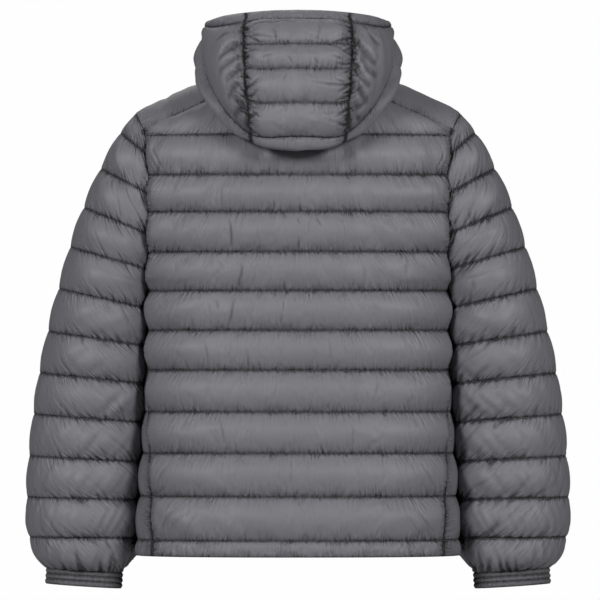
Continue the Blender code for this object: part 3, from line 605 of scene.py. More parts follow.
def sleeve_loop(u, row):
    """The wearer's left sleeve, from its front edge (u = 0) round the outside to its back."""
    inner_z = sleeve_size(row, "inner_z")
    leaving = unit((row - UNDERARM_ROW) / 0.3)
    inner_x = torso(inner_z, "seam_x") * (1 - leaving) + sleeve_size(row, "inner_x") * leaving
    edge_y = np.where(row < UNDERARM_ROW, armhole_depth(inner_z), 0)
    half_depth = sleeve_size(row, "half_depth")
    last = math.pi - np.arcsin(np.clip(edge_y / half_depth, 0, 0.999))
    turn = last * (2 * u - 1)
    along = 1 - (1 - np.cos(turn)) / (1 - np.cos(last))
    x = mix(inner_x, sleeve_size(row, "outer_x"), along)
    leaving_cuff = unit((sleeve_rows - row) / 0.8)
    x = x - SLEEVE_INWARD * leaving * leaving_cuff * np.sin(math.pi * unit(u / SLEEVE_LEAN_END)) ** 2
    z = mix(inner_z, sleeve_size(row, "outer_z"), along)
    square = np.where(turn > math.pi / 2, 1 - SLEEVE_SQUARE * leaving, 1)
    y = half_depth * np.sign(turn) * np.abs(np.sin(turn)) ** square - sleeve_size(row, "forward")
    sewn = unit(1 - row) ** 2
    arm_z = armhole_height(y, 1)
    return stack(mix(x, torso(arm_z, "seam_x") - SLEEVE_GAP, sewn), y, mix(z, arm_z, sewn))


def sleeve_thickness(u, row):
    fraction = row - np.floor(row)
    inside_fill = sleeve_size(row, "inside_fill")
    outside_fill = SLEEVE_FILL + SLEEVE_LAST_FILL * unit(row - 10.5)
    full = mix(inside_fill, outside_fill, fullness(u))
    head = 0.3 + 0.7 * unit(row - 0.3)
    place, spread = SLEEVE_FACE
    face = np.exp(-((np.abs(2 * u - 1) - place) / spread) ** 2)
    full = full * head + SLEEVE_FACE_FILL * head * face
    steep = 18 + 22 * unit((row - UNDERARM_ROW) / 0.4)
    edge = unit(np.minimum(u, 1 - u) * steep) ** 0.7
    base = mix(EDGE_THICK, LINE_THICK, edge)
    return base + (full - base) * fullness(fraction) * edge * unit(row + 0.2)


pair("sleeve_shell", "sleeve", sleeve_loop, 0.42, row_places(sleeve_rows, ROW_STEPS),
     sleeve_thickness, 400, (0.8, -1.1), range(sleeve_rows + 1), grid=0.0035,
     reach=1.6, sides=2.3, drawn=1.8, pleats=CUFF_PLEATS)

# ---------------------------------------------------------------- cuffs
# Each cuff is a doubled band of a matter nylon with three narrow elastics sewn inside, which
# draw it and the sleeve's last row in.
CUFF_DEPTH = 0.0225
CUFF_LINES = (0.0, 0.34, 0.66, 1.0)
CUFF_THICK = 0.0030
CUFF_CHANNEL = 0.335        # an elastic's channel, as a share of the depth
CUFF_RIBS = (0.0045, 0.011)     # narrowest and widest rib that the elastics draw up
CUFF_RIB_HEIGHT = 0.00045


def cuff_surface(u, row):
    """The wearer's left cuff, which carries the sleeve's last loop straight down."""
    above = sleeve_loop(u, np.full_like(u, float(sleeve_rows)))
    last = SLEEVE[-1]
    way = np.array((last[1] - last[3], 0, last[2] - last[4])) * MM
    downward = np.array((way[2], 0, -way[0])) / np.linalg.norm(way) * CUFF_DEPTH
    return above + downward * row[..., None]


def cuff_thickness(u, row):
    below = np.clip(np.searchsorted(CUFF_LINES, row + 1e-6, side="right") - 1, 0, 2)
    fraction = (row - np.take(CUFF_LINES, below)) / CUFF_CHANNEL
    ribs = ripple(451, u * 0.3, *CUFF_RIBS) * CUFF_RIB_HEIGHT
    return mix(EDGE_THICK, CUFF_THICK, fullness(fraction)) + ribs * fullness(row)


pair("cuff_shell", "cuff", cuff_surface, 0.30, between(CUFF_LINES, CUFF_DEPTH, 5),
     cuff_thickness, 460, (0.0, 0.0), CUFF_LINES, grid=0.003, gathers=0.3, sides=0.2,
     slot="cuff_nylon")

# ---------------------------------------------------------------- neck piece
# A stand collar in three parts. It stands at the front and rolls outwards behind the neck, where
# its edge carries the hood.
COLLAR_FILL = 0.0078
COLLAR_ROOT_FILL = 0.0036
COLLAR_LINES = (0.0, 0.5, 1.0)
BACK_NECK_ANGLE = 23.0
FRONT_NECK_ANGLE = 176.7


def bezier(points, t):
    order = len(points) - 1
    total = [0, 0]
    for index, point in enumerate(points):
        weight = math.comb(order, index) * (1 - t) ** (order - index) * t ** index
        total = [total[0] + weight * point[0], total[1] + weight * point[1]]
    return total


def neck_surface(rings, first, last):
    """Surface between rings of the neck table. first and last give the two side edges' angles."""
    def surface(u, row):
        t = 1 - row
        angle = mix(mix(*first, t ** 2.2), mix(*last, t ** 2.2), u)
        return around(*bezier([neck_ring(ring, angle) for ring in rings], t), angle)
    return surface


def pad_thickness(full, lines, width):
    """Thickness of a piece that swells between its lines to full, a size or a function."""
    lines = np.asarray(lines)

    def thickness(u, row):
        below = np.clip(np.searchsorted(lines, row + 1e-6, side="right") - 1, 0, len(lines) - 2)
        fraction = (row - lines[below]) / (lines[below + 1] - lines[below])
        edge = unit(np.minimum(u, 1 - u) * width / EDGE_RUN) ** 0.6
        base = mix(EDGE_THICK, LINE_THICK, edge * (row > 0) * (row < 1))
        fill = full(u, row) if callable(full) else full
        return base + (fill - base) * fullness(fraction) * edge
    return thickness


def collar_fill(u, row):
    return np.where(row < COLLAR_LINES[1], COLLAR_FILL, COLLAR_ROOT_FILL)


neck_rings = ("neck", "rise", "roll", "top")
padded_grid(
    "collar_shell_back", "collar_back",
    neck_surface(neck_rings, (BACK_NECK_ANGLE,) * 2, (-BACK_NECK_ANGLE,) * 2),
    0.13, between(COLLAR_LINES, 0.15), pad_thickness(collar_fill, COLLAR_LINES, 0.13), 500,
    (0.2, -0.2), COLLAR_LINES, gathers=0.7)
pair("collar_shell_side", "collar_side",
     neck_surface(neck_rings, (FRONT_NECK_ANGLE,) * 2, (BACK_NECK_ANGLE,) * 2),
     0.33, between(COLLAR_LINES, 0.14), pad_thickness(collar_fill, COLLAR_LINES, 0.25), 600,
     (0.2, 0.2), COLLAR_LINES, gathers=0.7)

# ---------------------------------------------------------------- hood
# The hood hangs open behind the neck: a quilted centre panel between two plain sides, and a
# narrow band round the face opening. The seams of the centre panel are strongly gathered.
HOOD_FRONT_ANGLE = 167.0
HOOD_EDGE = (BACK_NECK_ANGLE, 34.0)     # angles of the centre panel's edge, at root and band
BAND_EDGE = (34.0, 40.0)
HOOD_LINES = (0.0, 0.27, 0.495, 0.765, 1.0)
HOOD_FILL = 0.0110
HOOD_FLAT_FILL = 0.0035
HOOD_BAND_FILL = 0.0048

# Creases of the left side and of the centre, as those of the back
HOOD_SIDE_CREASES = (
    (107, 37, 80, 54, 2.6, 1.7),
    (113, 25, 80, 45, 2.7, 1.9),
    (113, 8, 82, 31, 2.7, 1.9),
    (104, -6, 79, 11, 2.6, 1.7),
    (100, -29, 79, -3, 2.4, 1.7),
    (93, -34, 74, -36, 2.7, 1.6),
    (99, 75, 84, 78, 1.6, 1.6),
    (118, 52, 92, 66, 1.6, 2.2),
    (92, -52, 74, -44, 2.4, 1.6),
    (88, 18, 77, 16, 2.4, 1.5),
)
HOOD_CENTRE_CREASES = (
    (70, 60, 48, 47, 2.5, 1.6),
    (36, 74, 29, 54, 1.5, 1.6),
    (16, 33, 6, 19, 1.6, 1.5),
    (53, 28, 33, 36, 1.5, 1.6),
    (21, -4, 16, 8, 1.5, 1.5),
    (66, -8, 50, 4, 1.9, 1.6),
    (68, -30, 56, -16, 1.9, 1.6),
    (-68, 58, -46, 50, 2.2, 1.6),
    (-30, 78, -26, 56, 1.5, 1.6),
    (-66, 26, -48, 34, 1.9, 1.6),
    (-70, -6, -52, 2, 1.9, 1.6),
    (-22, 30, -28, 18, 1.5, 1.5),
    (-68, -42, -48, -54, 1.9, 1.6),
    (68, -44, 50, -56, 1.9, 1.6),
)
hood_rings = ("top", "belly", "band")


def hood_side_fill(u, row):
    """A hood side holds little down where it narrows towards the front."""
    return mix(HOOD_FLAT_FILL, HOOD_FILL, unit((u - 0.5) / 0.35))


padded_grid(
    "hood_shell_centre", "hood_centre",
    neck_surface(hood_rings, HOOD_EDGE, np.negative(HOOD_EDGE)),
    0.15, between(HOOD_LINES, 0.20), pad_thickness(HOOD_FILL, HOOD_LINES, 0.14), 700,
    (0.1, -0.1), HOOD_LINES, gathers=0.75, sides=3.4, knotted=3.2, creases=HOOD_CENTRE_CREASES)
pair("hood_shell_side", "hood_side",
     neck_surface(hood_rings, (HOOD_FRONT_ANGLE,) * 2, HOOD_EDGE),
     0.33, between((0, 1), 0.17), pad_thickness(hood_side_fill, (0, 1), 0.25), 800, (0.1, 0.1),
     (0, 1), gathers=0.3, sides=2.4, knotted=3.2, creases=HOOD_SIDE_CREASES)
padded_grid(
    "hood_band_shell_centre", "hood_band_centre",
    neck_surface(("band", "rim"), BAND_EDGE, np.negative(BAND_EDGE)),
    0.15, between((0, 1), 0.024), pad_thickness(HOOD_BAND_FILL, (0, 1), 0.14), 900,
    (0.1, -0.1), (0, 1), gathers=0.6)
pair("hood_band_shell_side", "hood_band_side",
     neck_surface(("band", "rim"), (HOOD_FRONT_ANGLE,) * 2, BAND_EDGE),
     0.30, between((0, 1), 0.024), pad_thickness(HOOD_BAND_FILL, (0, 1), 0.25), 950, (0.1, 0.1),
     (0, 1), gathers=0.4)

# ---------------------------------------------------------------- down
# Every shell is cut a little longer than the lining it is stitched to, and the down presses it
# out, so it swells between the lines and gathers along them.
FRAMES = 14
LARGEST_MOVE = 0.009
DOWN_FILLED_NYLON = {
    "quality": 4, "mass": 0.1, "tension_stiffness": 15, "compression_stiffness": 15,
    "shear_stiffness": 5, "bending_stiffness": 0.05, "use_pressure": True,
    "uniform_pressure_force": 4, "shrink_min": -0.003, "vertex_group_mass": "stitched",
}

for made in padded_pieces:
    piece = made.piece
    held = piece.vertex_groups.new(name="stitched")
    held.add(np.flatnonzero(made.held.ravel()).tolist(), 1, "REPLACE")
    down = piece.modifiers.new("down", "CLOTH")
    for setting, value in DOWN_FILLED_NYLON.items():
        setattr(down.settings, setting, value)
    down.settings.effector_weights.gravity = 0
    down.collision_settings.use_collision = False
    down.point_cache.frame_start = 1
    down.point_cache.frame_end = FRAMES
for number in range(1, FRAMES + 1):
    bpy.context.scene.frame_set(number)
graph = bpy.context.evaluated_depsgraph_get()
for made in padded_pieces:
    settled = made.piece.evaluated_get(graph).data
    places = np.empty(len(settled.vertices) * 3, np.float32)
    settled.vertices.foreach_get("co", places)
    places = places.reshape(made.shell.shape).astype(float)
    move = places - made.shell
    far = np.linalg.norm(move, axis=-1, keepdims=True)
    made.shell = made.shell + move * np.minimum(1, LARGEST_MOVE / np.maximum(far, 1e-9))
    made.piece.modifiers.clear()
bpy.context.scene.frame_set(1)

# ---------------------------------------------------------------- gathers and walls
# The settled shells are drawn twice as finely, and their gathers and creases are pressed in. Each
# then becomes a closed wall, with its plain lining and its turned edges.
def halved(points):
    """The grid with a smooth place added between each two, along both directions."""
    for axis in (0, 1):
        p = np.moveaxis(points, axis, 0)
        ends = np.concatenate((2 * p[:1] - p[1:2], p, 2 * p[-1:] - p[-2:-1]))
        middle = (9 * (ends[1:-2] + ends[2:-1]) - ends[:-3] - ends[3:]) / 16
        out = np.empty((2 * len(p) - 1,) + p.shape[1:])
        out[::2], out[1::2] = p, middle
        points = np.moveaxis(out, 0, axis)
    return points


def doubled(places):
    """A grid's row or column places, with the middle of each two added."""
    return np.interp(np.arange(2 * len(places) - 1) / 2, np.arange(len(places)), places)


CREASE_END = 3.2        # how many widths to each side a crease reaches
RIDGE_HEIGHT = 0.22     # of the cloth that stands up beside it, as a share of its depth
RIDGE_PLACE = 2.0       # widths from its middle


def press_crease(height, along, down, start, way, length, depth, width, bow, free=False):
    """Presses one crease into a grid of heights.

    It starts in a seam at (along, down) and runs the given way, or dies out at both ends where
    it is free. The cloth stands up a little on its two sides.
    """
    way = np.array(way, float) / np.hypot(*way)
    end = np.array(start) + way * length
    reach = CREASE_END * width + abs(bow) * length
    columns = slice(*np.searchsorted(along, (min(start[0], end[0]) - reach,
                                             max(start[0], end[0]) + reach)))
    rows = slice(*np.searchsorted(down, (min(start[1], end[1]) - reach,
                                         max(start[1], end[1]) + reach)))
    right = along[None, columns] - start[0]
    under = down[rows, None] - start[1]
    run = (right * way[0] + under * way[1]) / length
    off = (right * way[1] - under * way[0] - bow * length * run * (1 - run) * 4) / width
    inside = unit(run)
    if free:
        strength = np.sin(math.pi * inside) ** 0.6
    else:
        strength = (1 - inside) ** 0.9 * unit(1 + run * length / width)
    cut = np.where((run > -1) & (run < 1), strength, 0)
    ridge = RIDGE_HEIGHT * np.exp(-((np.abs(off) - RIDGE_PLACE) ** 2) / 0.8)
    height[rows, columns] += depth * cut * (ridge - np.exp(-off ** 2))


# How cloth gathers beside stitching, in mm. Ticks are pinched in between two stitches, and folds
# run out into the row: their length and its spread, depth, width, and least and most spacing.
GATHERS = (
    (6.5, 0.50, 1.10, 1.10, 3.0, 10.0),
    (17.0, 0.45, 0.90, 1.50, 6.0, 26.0),
)
ABOVE_LINE = 1.25       # how much longer they are above a line than their length
BELOW_LINE = 0.8
DRAWN_RUN = 0.06        # how far from a side seam they are still drawn in


def press_gathers(height, made, along, down, spacing):
    """Gathers on both sides of every line of stitches and along the two side seams."""
    rng = np.random.default_rng(made.seed + 7)
    lean_left, lean_right = made.lean
    width = along[-1]

    def press(start, way, length, depth, widest):
        press_crease(height, along, down, start, way, length, depth * MM,
                     max(spacing, widest * MM) * rng.uniform(0.9, 1.3), rng.normal(0, 0.06))

    for longest, spread, deepest, widest, nearest, farthest in GATHERS:
        for line in made.lines:
            for drop, share in ((-1, ABOVE_LINE * made.reach), (1, BELOW_LINE * made.reach)):
                place = rng.uniform(0, farthest) * MM
                while place < width:
                    lean = lean_left + (lean_right - lean_left) * place / width + rng.normal(0, 0.3)
                    more = 1 + made.drawn * math.exp(-min(place, width - place) / DRAWN_RUN)
                    length = share * longest * MM * math.exp(rng.normal(0, spread)) * more ** 0.5
                    press((place, line), (-drop * lean, drop), length,
                          made.gathers * deepest * rng.uniform(0.2, 1.1) * more, widest)
                    place += rng.uniform(nearest, farthest) * MM
        for side, edge, lean in ((1, 0.0, lean_left), (-1, width, lean_right)):
            slope = -0.6 * np.sign(side * lean) if abs(lean) > 0.2 else 0.0
            place = rng.uniform(0, farthest) * MM
            while place < down[-1]:
                length = longest * MM * math.exp(rng.normal(0, spread)) * made.sides ** 0.7
                press((edge, place), (side, rng.normal(slope, 0.4)), length,
                      made.sides * deepest * rng.uniform(0.3, 1.1), widest)
                place += rng.uniform(nearest, farthest) * MM
    if made.pleats:
        count, longest, deepest, widest = made.pleats
        for number in range(count):
            place = width * (number + rng.uniform(0.1, 0.9)) / count
            press_crease(height, along, down, (place, down[-1]), (rng.normal(0, 0.25), -1),
                         longest * MM * rng.uniform(0.5, 1.3), deepest * MM * rng.uniform(0.35, 1),
                         widest * MM * rng.uniform(0.8, 1.3), rng.normal(0, 0.05))


def coarser(values, step):
    """Every so many places of a grid, with its last ones kept."""
    tall, wide = values.shape[:2]
    rows = np.unique(np.append(np.arange(0, tall, step), tall - 1))
    columns = np.unique(np.append(np.arange(0, wide, step), wide - 1))
    return values[rows][:, columns], rows, columns


CREASED_FROM = 0.003    # creases fade out over this run to a piece's edge
LINING_STEP = 3         # the lining has one place for so many of the simulated cloth
SEAM_SHADE_FADE = 0.0065      # how far the painted shade beside a line of stitches reaches
SIDE_SEAM_SHADE = (0.0022, 0.0042)    # a side seam's painted shade is full up to the first and ends at the second
GATHER_FADE = 0.008     # how far the fine gathers run from a line, and from a side seam
SIDE_GATHER_FADE = 0.011


def creased_shell(made):
    """The fine outer shell, with its gathers and creases pressed in."""
    outer = made.plain = halved(made.shell)
    along, down = doubled(made.along), doubled(made.down)
    spacing = 0.85 * (along[1] - along[0])
    height = np.zeros(outer.shape[:2])
    press_gathers(height, made, along, down, spacing)
    for x0, z0, x1, z1, depth, width in made.creases:
        places = []
        for x, z in ((x0, z0), (x1, z1)):
            near = np.argmin((outer[..., 0] - x * MM) ** 2 + (outer[..., 2] - z * MM) ** 2
                             - 6e-5 * outer[..., 1])
            row, place = np.unravel_index(near, outer.shape[:2])
            places.append((along[place], down[row]))
        way = np.subtract(places[1], places[0])
        press_crease(height, along, down, places[0], way, np.hypot(*way), depth * MM, width * MM,
                     0.05, free=True)
    to_edge = np.minimum(np.minimum(along, along[-1] - along)[None, :],
                         np.minimum(down, down[-1] - down)[:, None])
    height *= unit(to_edge / CREASED_FROM)
    to_line = np.abs(down[:, None] - np.array(made.lines)[None, :]).min(1)[:, None]
    height = np.maximum(height, -0.0006 - 0.4 * np.minimum(to_line, to_edge))
    return outer + outward(outer) * height[..., None], along, down, height


def lay_flat(mesh, name, places):
    """A UV map from each point's place on the flat cloth."""
    corners = np.empty(len(mesh.loops), np.int32)
    mesh.loops.foreach_get("vertex_index", corners)
    mesh.uv_layers.new(name=name).data.foreach_set("uv", places[corners].astype(np.float32).ravel())


def shell_mesh(made):
    """The piece as a closed wall: fine outer shell, plain lining inside, and turned edges."""
    outer, along, down, height = creased_shell(made)
    lining, rows, columns = coarser(made.inner, LINING_STEP)
    index, faces = grid_index(outer)
    inside, lining_faces = grid_index(lining, index.size)
    polygons = faces.tolist() + lining_faces[:, [0, 3, 2, 1]].tolist()
    for edge, inner_edge, places, turn in (
            (index[0], inside[0], columns, 1), (index[-1], inside[-1], columns, -1),
            (index[:, 0], inside[:, 0], rows, -1), (index[:, -1], inside[:, -1], rows, 1)):
        for number in range(len(places) - 1):
            stretch = edge[2 * places[number]:2 * places[number + 1] + 1].tolist()
            polygon = stretch + [int(inner_edge[number + 1]), int(inner_edge[number])]
            polygons.append(polygon if turn > 0 else polygon[::-1])
    mesh = made.piece.data
    mesh.clear_geometry()
    mesh.from_pydata(np.concatenate((outer.reshape(-1, 3), lining.reshape(-1, 3))).tolist(), [],
                     polygons)

    # "cut" is the flat cloth in metres, and "fold" is the same slanted as the gathers are. "seam"
    # is 1 in a seam and fades beside it, and sets the painted shade of the seam's groove. "gather"
    # and "side" say how much the cloth is gathered there, for the gathers' relief and the painted
    # shade in their valleys, and "crease" is 1 in the deep of a crease, where shade is painted.
    spots = np.stack(np.meshgrid(along, down), -1)
    after = np.clip(np.searchsorted(made.lines, down, side="right"), 1, len(made.lines) - 1)
    above, under = down - made.lines[after - 1], made.lines[after] - down
    nearest = np.minimum(above, under)[:, None]
    lean = np.interp(along, (0, along[-1]), made.lean)[None, :]
    fold = stack(along[None, :] + lean * above[:, None], spots[..., 1], 0)[..., :2]
    beside = np.minimum(along, along[-1] - along)[None, :]
    seam = np.maximum(np.exp(-np.minimum(nearest, beside / made.knotted) / SEAM_SHADE_FADE),
                      unit((SIDE_SEAM_SHADE[1] - beside) / (SIDE_SEAM_SHADE[1] - SIDE_SEAM_SHADE[0])))
    more = 1 + 0.5 * made.drawn * np.exp(-beside / 0.05)
    gather = (np.exp(-nearest / GATHER_FADE) + 0.10) * made.gathers * more
    side = np.exp(-beside / SIDE_GATHER_FADE) * min(made.sides, 1.5) + 0 * nearest
    for name, values in (("cut", spots), ("fold", fold)):
        plain = coarser(values[::2, ::2], LINING_STEP)[0]
        lay_flat(mesh, name, np.concatenate((values.reshape(-1, 2), plain.reshape(-1, 2))))
    for name, values in (("seam", seam), ("gather", gather), ("side", side),
                         ("crease", unit(-(height + 0.0004) / 0.0012))):
        mesh.attributes.new(name, "FLOAT", "POINT").data.foreach_set("value", np.concatenate(
            (values.ravel(), np.zeros(inside.size))).astype(np.float32))
    mesh.polygons.foreach_set("use_smooth", [True] * len(mesh.polygons))
    mesh.update()


# ---------------------------------------------------------------- nylon
# The shell is a light downproof taffeta of fine yarn, calendered to a soft sheen. It creases
# finely beside each line of stitches. The cuffs' band is the same in a matter weave.
def nylon(name, code, roughness):
    """Taffeta in one colour, creased and given painted shade where the shells' attributes say so."""
    made, tree, shader = material(name)

    def maths(operation, *values, **settings):
        inputs = {"_" + str(number): value for number, value in enumerate(values)}
        return add(tree, "Math", {"operation": operation, **settings}, **inputs)

    def noise(place, scale, detail, **inputs):
        return add(tree, "TexNoise", Vector=place, Scale=scale, Detail=detail, **inputs)

    def stretched(place, scale):
        return add(tree, "Mapping", Vector=place, Scale=scale)

    def attribute(name):
        return add(tree, "Attribute", {"attribute_name": name}), "Fac"

    cut = add(tree, "UVMap", {"uv_map": "cut"})
    fold = add(tree, "UVMap", {"uv_map": "fold"})
    colour = linear(code)
    # darker and lighter give the cloth's uneven tone; deepest is the colour of the painted shade
    darker, lighter, deepest = ([c * share for c in colour[:3]] + [1] for share in (0.92, 1.08, 0.08))
    tone = add(tree, "Mix", {"data_type": "RGBA"}, Factor=noise(cut, 9.0, 3.0), _6=darker,
               _7=lighter)
    jagged = add(tree, "MapRange", Value=noise(cut, 260.0, 2.0), From_Min=0.35, From_Max=0.65,
                 To_Min=2.3, To_Max=6.0)
    # Painted shade in the grooves of the seams and the deep of the creases
    pressed = maths("MULTIPLY_ADD", attribute("crease"), 0.50,
                    maths("POWER", attribute("seam"), jagged))

    # Fine gathers, 4 to 6 mm apart, that run out of every seam as sharp little valleys, drawn as
    # bumps with painted shade in their bottoms. They come in clumps, and fainter ones cross the rows.
    clumped = add(tree, "MapRange", Value=noise(cut, 38.0, 1.0), From_Min=0.38, From_Max=0.62,
                  To_Min=0.25, To_Max=1.25)
    heights, shades = [], []
    for place, scale, name in ((fold, (150, 20, 1), "gather"), (cut, (26, 150, 1), "side")):
        streak = noise(stretched(place, scale), 1.0, 2.5, Roughness=0.6)
        ridge = maths("ABSOLUTE", maths("SUBTRACT", streak, 0.5))
        uneven = maths("MULTIPLY", attribute(name), clumped)
        heights.append(maths("MULTIPLY", ridge, uneven))
        # Painted shade in the bottom of each gather's valley
        bottom = add(tree, "MapRange", Value=ridge, From_Min=0.0, From_Max=0.03, To_Min=0.62,
                     To_Max=0.0)
        shades.append(maths("MULTIPLY", bottom, uneven))
    gathered = add(tree, "Bump", Height=maths("ADD", *heights), Strength=1.0, Distance=0.012)
    # All the painted shade together darkens the colour towards deepest
    painted_shade = maths("ADD", maths("MAXIMUM", *shades), pressed, use_clamp=True)
    shaded_colour = add(tree, "Mix", {"data_type": "RGBA"}, Factor=painted_shade, _6=(tone, 2), _7=deepest)

    # Soft creasing all over, and the yarn of the weave, drawn about five times too coarse
    creased = add(tree, "Bump", Height=noise(cut, 120.0, 3.0, Distortion=0.6), Normal=gathered,
                  Strength=0.4, Distance=0.0004)
    warp = noise(stretched(cut, (1500, 260, 1)), 1.0, 1.0)
    weft = noise(stretched(cut, (260, 1500, 1)), 1.0, 1.0)
    woven = add(tree, "Bump", Height=maths("ADD", warp, weft), Normal=creased, Strength=0.25,
                Distance=0.0002)
    plug(shader, Base_Color=(shaded_colour, 2), Normal=woven, Roughness=roughness, IOR=1.53,
         Specular_IOR_Level=0.27, Sheen_Weight=0.04, Sheen_Roughness=0.45)
    return made


shell_nylon = nylon("nylon_taffeta", "#66666b", 0.54)
cuff_nylon = nylon("nylon_elastic_band", "#58585c", 0.7)
for made in padded_pieces:
    shell_mesh(made)
    piece = made.piece
    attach(piece, "jacket")
    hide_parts(made.node)
    if made.slot == "cuff_nylon":
        piece.data.materials.append(cuff_nylon)
    else:
        piece.data.materials.append(shell_nylon)

# ---------------------------------------------------------------- stitches
# Every line is sewn through with a polyester thread of the shell's colour. A stitch shows as a
# short raised bead, sunk at both ends.
STITCH_PITCH = 0.0033
STITCH_LENGTH = 0.0025
THREAD_RADIUS = 0.00028
STITCH_RAISED = 0.0003


def taken(solid):
    """The points and faces of a small modelled solid, which is then removed."""
    parts = (np.array([v.co for v in solid.data.vertices]),
             [list(p.vertices) for p in solid.data.polygons])
    bpy.data.objects.remove(solid, do_unlink=True)
    return parts


def strung(name, solid, centre, axes, surface):
    """One mesh of copies of a small solid, each with its own centre and three axes."""
    points, faces = solid
    places = centre[:, None]
    for number, axis in enumerate(axes):
        places = places + points[None, :, number:number + 1] * axis[:, None]
    copies = [[corner + len(points) * number for corner in face]
              for number in range(len(places)) for face in faces]
    made = mesh_object(name, places, copies)
    made.data.materials.append(surface)
    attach(made, "jacket")
    return made


def lined(vectors):
    return vectors / np.linalg.norm(vectors, axis=1, keepdims=True)


def sew(name, seams):
    """One mesh of stitches along seams, each its points and the outward directions there."""
    stitches = []
    for points, normals in seams:
        length = np.concatenate(([0], np.cumsum(np.linalg.norm(np.diff(points, axis=0), axis=1))))
        at = np.arange(STITCH_PITCH / 2, length[-1], STITCH_PITCH)
        centre, out, ahead = (
            np.stack([np.interp(at, length, values[:, axis]) for axis in range(3)], -1)
            for values in (points, normals, np.gradient(points, axis=0)))
        ahead = lined(ahead)
        stitches.append((centre, ahead, np.cross(out, ahead), out))
    centre, *axes = (np.concatenate(parts) for parts in zip(*stitches))
    strung(name, one_stitch, centre, axes, thread)


bpy.ops.mesh.primitive_uv_sphere_add(segments=4, ring_count=3, radius=THREAD_RADIUS)
one_stitch = taken(bpy.context.object)
one_stitch[0][:, 0] *= STITCH_LENGTH / 2 / THREAD_RADIUS
one_stitch[0][:, 2] += STITCH_RAISED

thread, thread_tree, thread_shader = material("polyester_thread")
ply = add(thread_tree, "TexWave", {"bands_direction": "DIAGONAL"}, Scale=900.0,
          Vector=(add(thread_tree, "TexCoord"), "Object"))
twisted = add(thread_tree, "Bump", Height=(ply, "Fac"), Strength=0.5, Distance=0.0002)
plug(thread_shader, Base_Color=linear("#77777c"), Normal=twisted, Roughness=0.5)
for made in padded_pieces:
    sewn = np.flatnonzero(made.held.all(1))[1:-1] * 2
    if len(sewn):
        normals = outward(made.plain)
        sew(made.piece.name.replace("shell", "stitches"),
            [(made.plain[row], normals[row]) for row in sewn])

# ---------------------------------------------------------------- zip
# A closed moulded zip joins the fronts from the hem to the collar. Its two tapes are woven
# polyester, sewn behind the front edges, and its teeth grip each other in the middle.
ZIP_NECK_SHARE = 0.12
TAPE_INNER_X = 0.0031
TAPE_OUTER_X = 0.0150
TAPE_THICK = 0.0008
TAPE_BEHIND = 0.0009
CHAIN_HALF = 0.0026
CHAIN_THICK = 0.0022
CHAIN_TOP_SHARE = 0.985
TOOTH_PITCH = 0.0026


def zip_path(x, share):
    """Inner surface of the jacket beside the zip, from the hem (0) to the collar's top (1)."""
    neck_share = 1 - ZIP_NECK_SHARE
    angle = 180 - np.degrees(x / (NECK[-1][1][0] * MM))
    neckline = neck_ring("neck", angle)[1]
    height = FRONT_LINES[-1] + (neckline - FRONT_LINES[-1]) * share / neck_share
    body = stack(x, -torso(height, "front_y"), height)
    t = unit((share - neck_share) / (1 - neck_share))
    neck = around(*bezier([neck_ring(ring, angle) for ring in neck_rings], t), angle)
    return np.where((share <= neck_share)[..., None], body, neck)


def woven_tape():
    """Narrow polyester webbing in a herringbone, its ribs drawn twice too coarse."""
    made, tree, shader = material("polyester_zip_tape")
    ribs = add(tree, "TexWave", {"bands_direction": "DIAGONAL"}, Scale=480.0, Distortion=0.4,
               Vector=add(tree, "UVMap", {"uv_map": "cut"}))
    woven = add(tree, "Bump", Height=(ribs, "Fac"), Strength=0.7, Distance=0.0003)
    tone = add(tree, "Mix", {"data_type": "RGBA"}, Factor=(ribs, "Fac"), _6=linear("#303033"),
               _7=linear("#47474b"))
    plug(shader, Base_Color=(tone, 2), Normal=woven, Roughness=0.8, Sheen_Weight=0.3)
    return made


tape_material = woven_tape()
share, across = np.meshgrid(np.linspace(1, 0, 260), np.linspace(0, 1, 9), indexing="ij")
x = mix(TAPE_INNER_X, TAPE_OUTER_X, across)
tape_points = zip_path(x, share) + np.array((0, TAPE_BEHIND + TAPE_THICK / 2, 0))
length = arc(tape_points, 0)
for side, suffix in ((1, "left"), (-1, "right")):
    tape = grid_object("zip_tape_" + suffix + "_woven",
                       (tape_points * np.array((side, 1, 1)))[:, ::-side])
    lay_flat(tape.data, "cut", stack(x[:, ::-side], length[:, None], 0)[..., :2].reshape(-1, 2))
    tape.data.materials.append(tape_material)
    bpy.context.view_layer.objects.active = tape
    thick = tape.modifiers.new("thickness", "SOLIDIFY")
    thick.thickness = TAPE_THICK
    thick.offset = 0
    bpy.ops.object.modifier_apply(modifier=thick.name)
    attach(tape, "jacket")
    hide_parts("zip_tape_" + suffix)

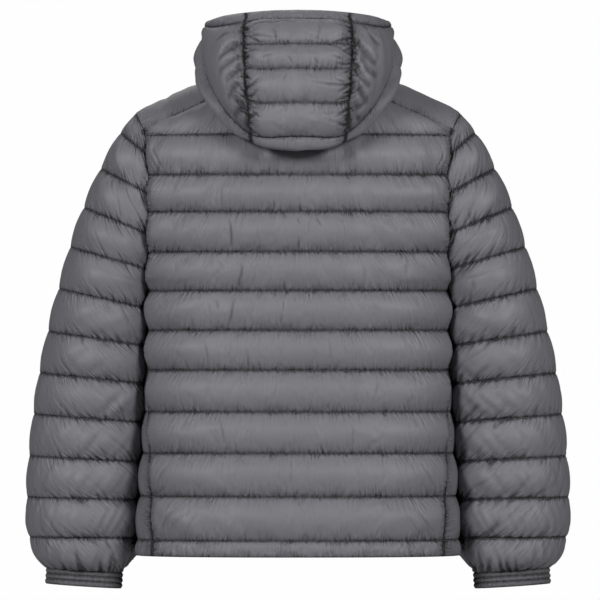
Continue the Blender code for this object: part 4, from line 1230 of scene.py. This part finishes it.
# One tooth: a small block clamped on the tape, with a narrower head that locks in the middle.
bpy.ops.mesh.primitive_cube_add(size=1, location=(0, 0, 0))
tooth = bpy.context.object
bpy.ops.object.mode_set(mode="EDIT")
bpy.ops.transform.resize(value=(CHAIN_HALF, CHAIN_THICK, TOOTH_PITCH * 0.42))
bpy.ops.mesh.select_all(action="DESELECT")
bpy.ops.object.mode_set(mode="OBJECT")
for face in tooth.data.polygons:
    face.select = face.normal.x < -0.5
bpy.ops.object.mode_set(mode="EDIT")
bpy.ops.mesh.extrude_region_move(TRANSFORM_OT_translate={"value": (-CHAIN_HALF * 0.3, 0, 0)})
bpy.ops.transform.resize(value=(1, 0.8, 0.55))
bpy.ops.mesh.select_all(action="SELECT")
bpy.ops.mesh.bevel(offset=0.00022, segments=1)
bpy.ops.object.mode_set(mode="OBJECT")
one_tooth = taken(tooth)
one_tooth[0][:, 0] += CHAIN_HALF * 0.45

chain_length = float(arc(zip_path(np.zeros((200, 1)), np.linspace(0, CHAIN_TOP_SHARE, 200)[:, None]),
                         0)[-1])
tooth_count = int(chain_length / TOOTH_PITCH * 2)
share = (np.arange(tooth_count) + 0.5) / tooth_count * CHAIN_TOP_SHARE
centre = zip_path(np.zeros(tooth_count), share)
ahead = lined(np.gradient(centre, axis=0))
right = stack(np.where(np.arange(tooth_count) % 2, 1, -1), 0, 0)


def plated_zinc(name, code, roughness):
    """Die-cast zinc with a dark nickel plating, finely scratched from handling."""
    made, tree, shader = material(name)
    place = (add(tree, "TexCoord"), "Object")
    worn = add(tree, "TexNoise", Vector=place, Scale=320.0, Detail=4.0)
    rough = add(tree, "MapRange", Value=worn, To_Min=roughness - 0.08, To_Max=roughness + 0.12)
    long = add(tree, "Mapping", Vector=place, Scale=(4000, 4000, 300))
    scratch = add(tree, "TexNoise", Vector=long, Scale=1.0, Detail=2.0)
    scratched = add(tree, "Bump", Height=scratch, Strength=0.25, Distance=0.0001)
    plug(shader, Base_Color=linear(code), Metallic=1.0, Roughness=rough, Normal=scratched)
    return made


zinc = plated_zinc("plated_zinc", "#77777b", 0.30)
chain = strung("zip_teeth", one_tooth, centre, (right, np.cross(ahead, right), ahead),
               zinc)
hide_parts("zip_chain")
for node in ("zip_slider", "zip_pull"):
    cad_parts[node].data.materials.clear()
    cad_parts[node].data.materials.append(zinc)
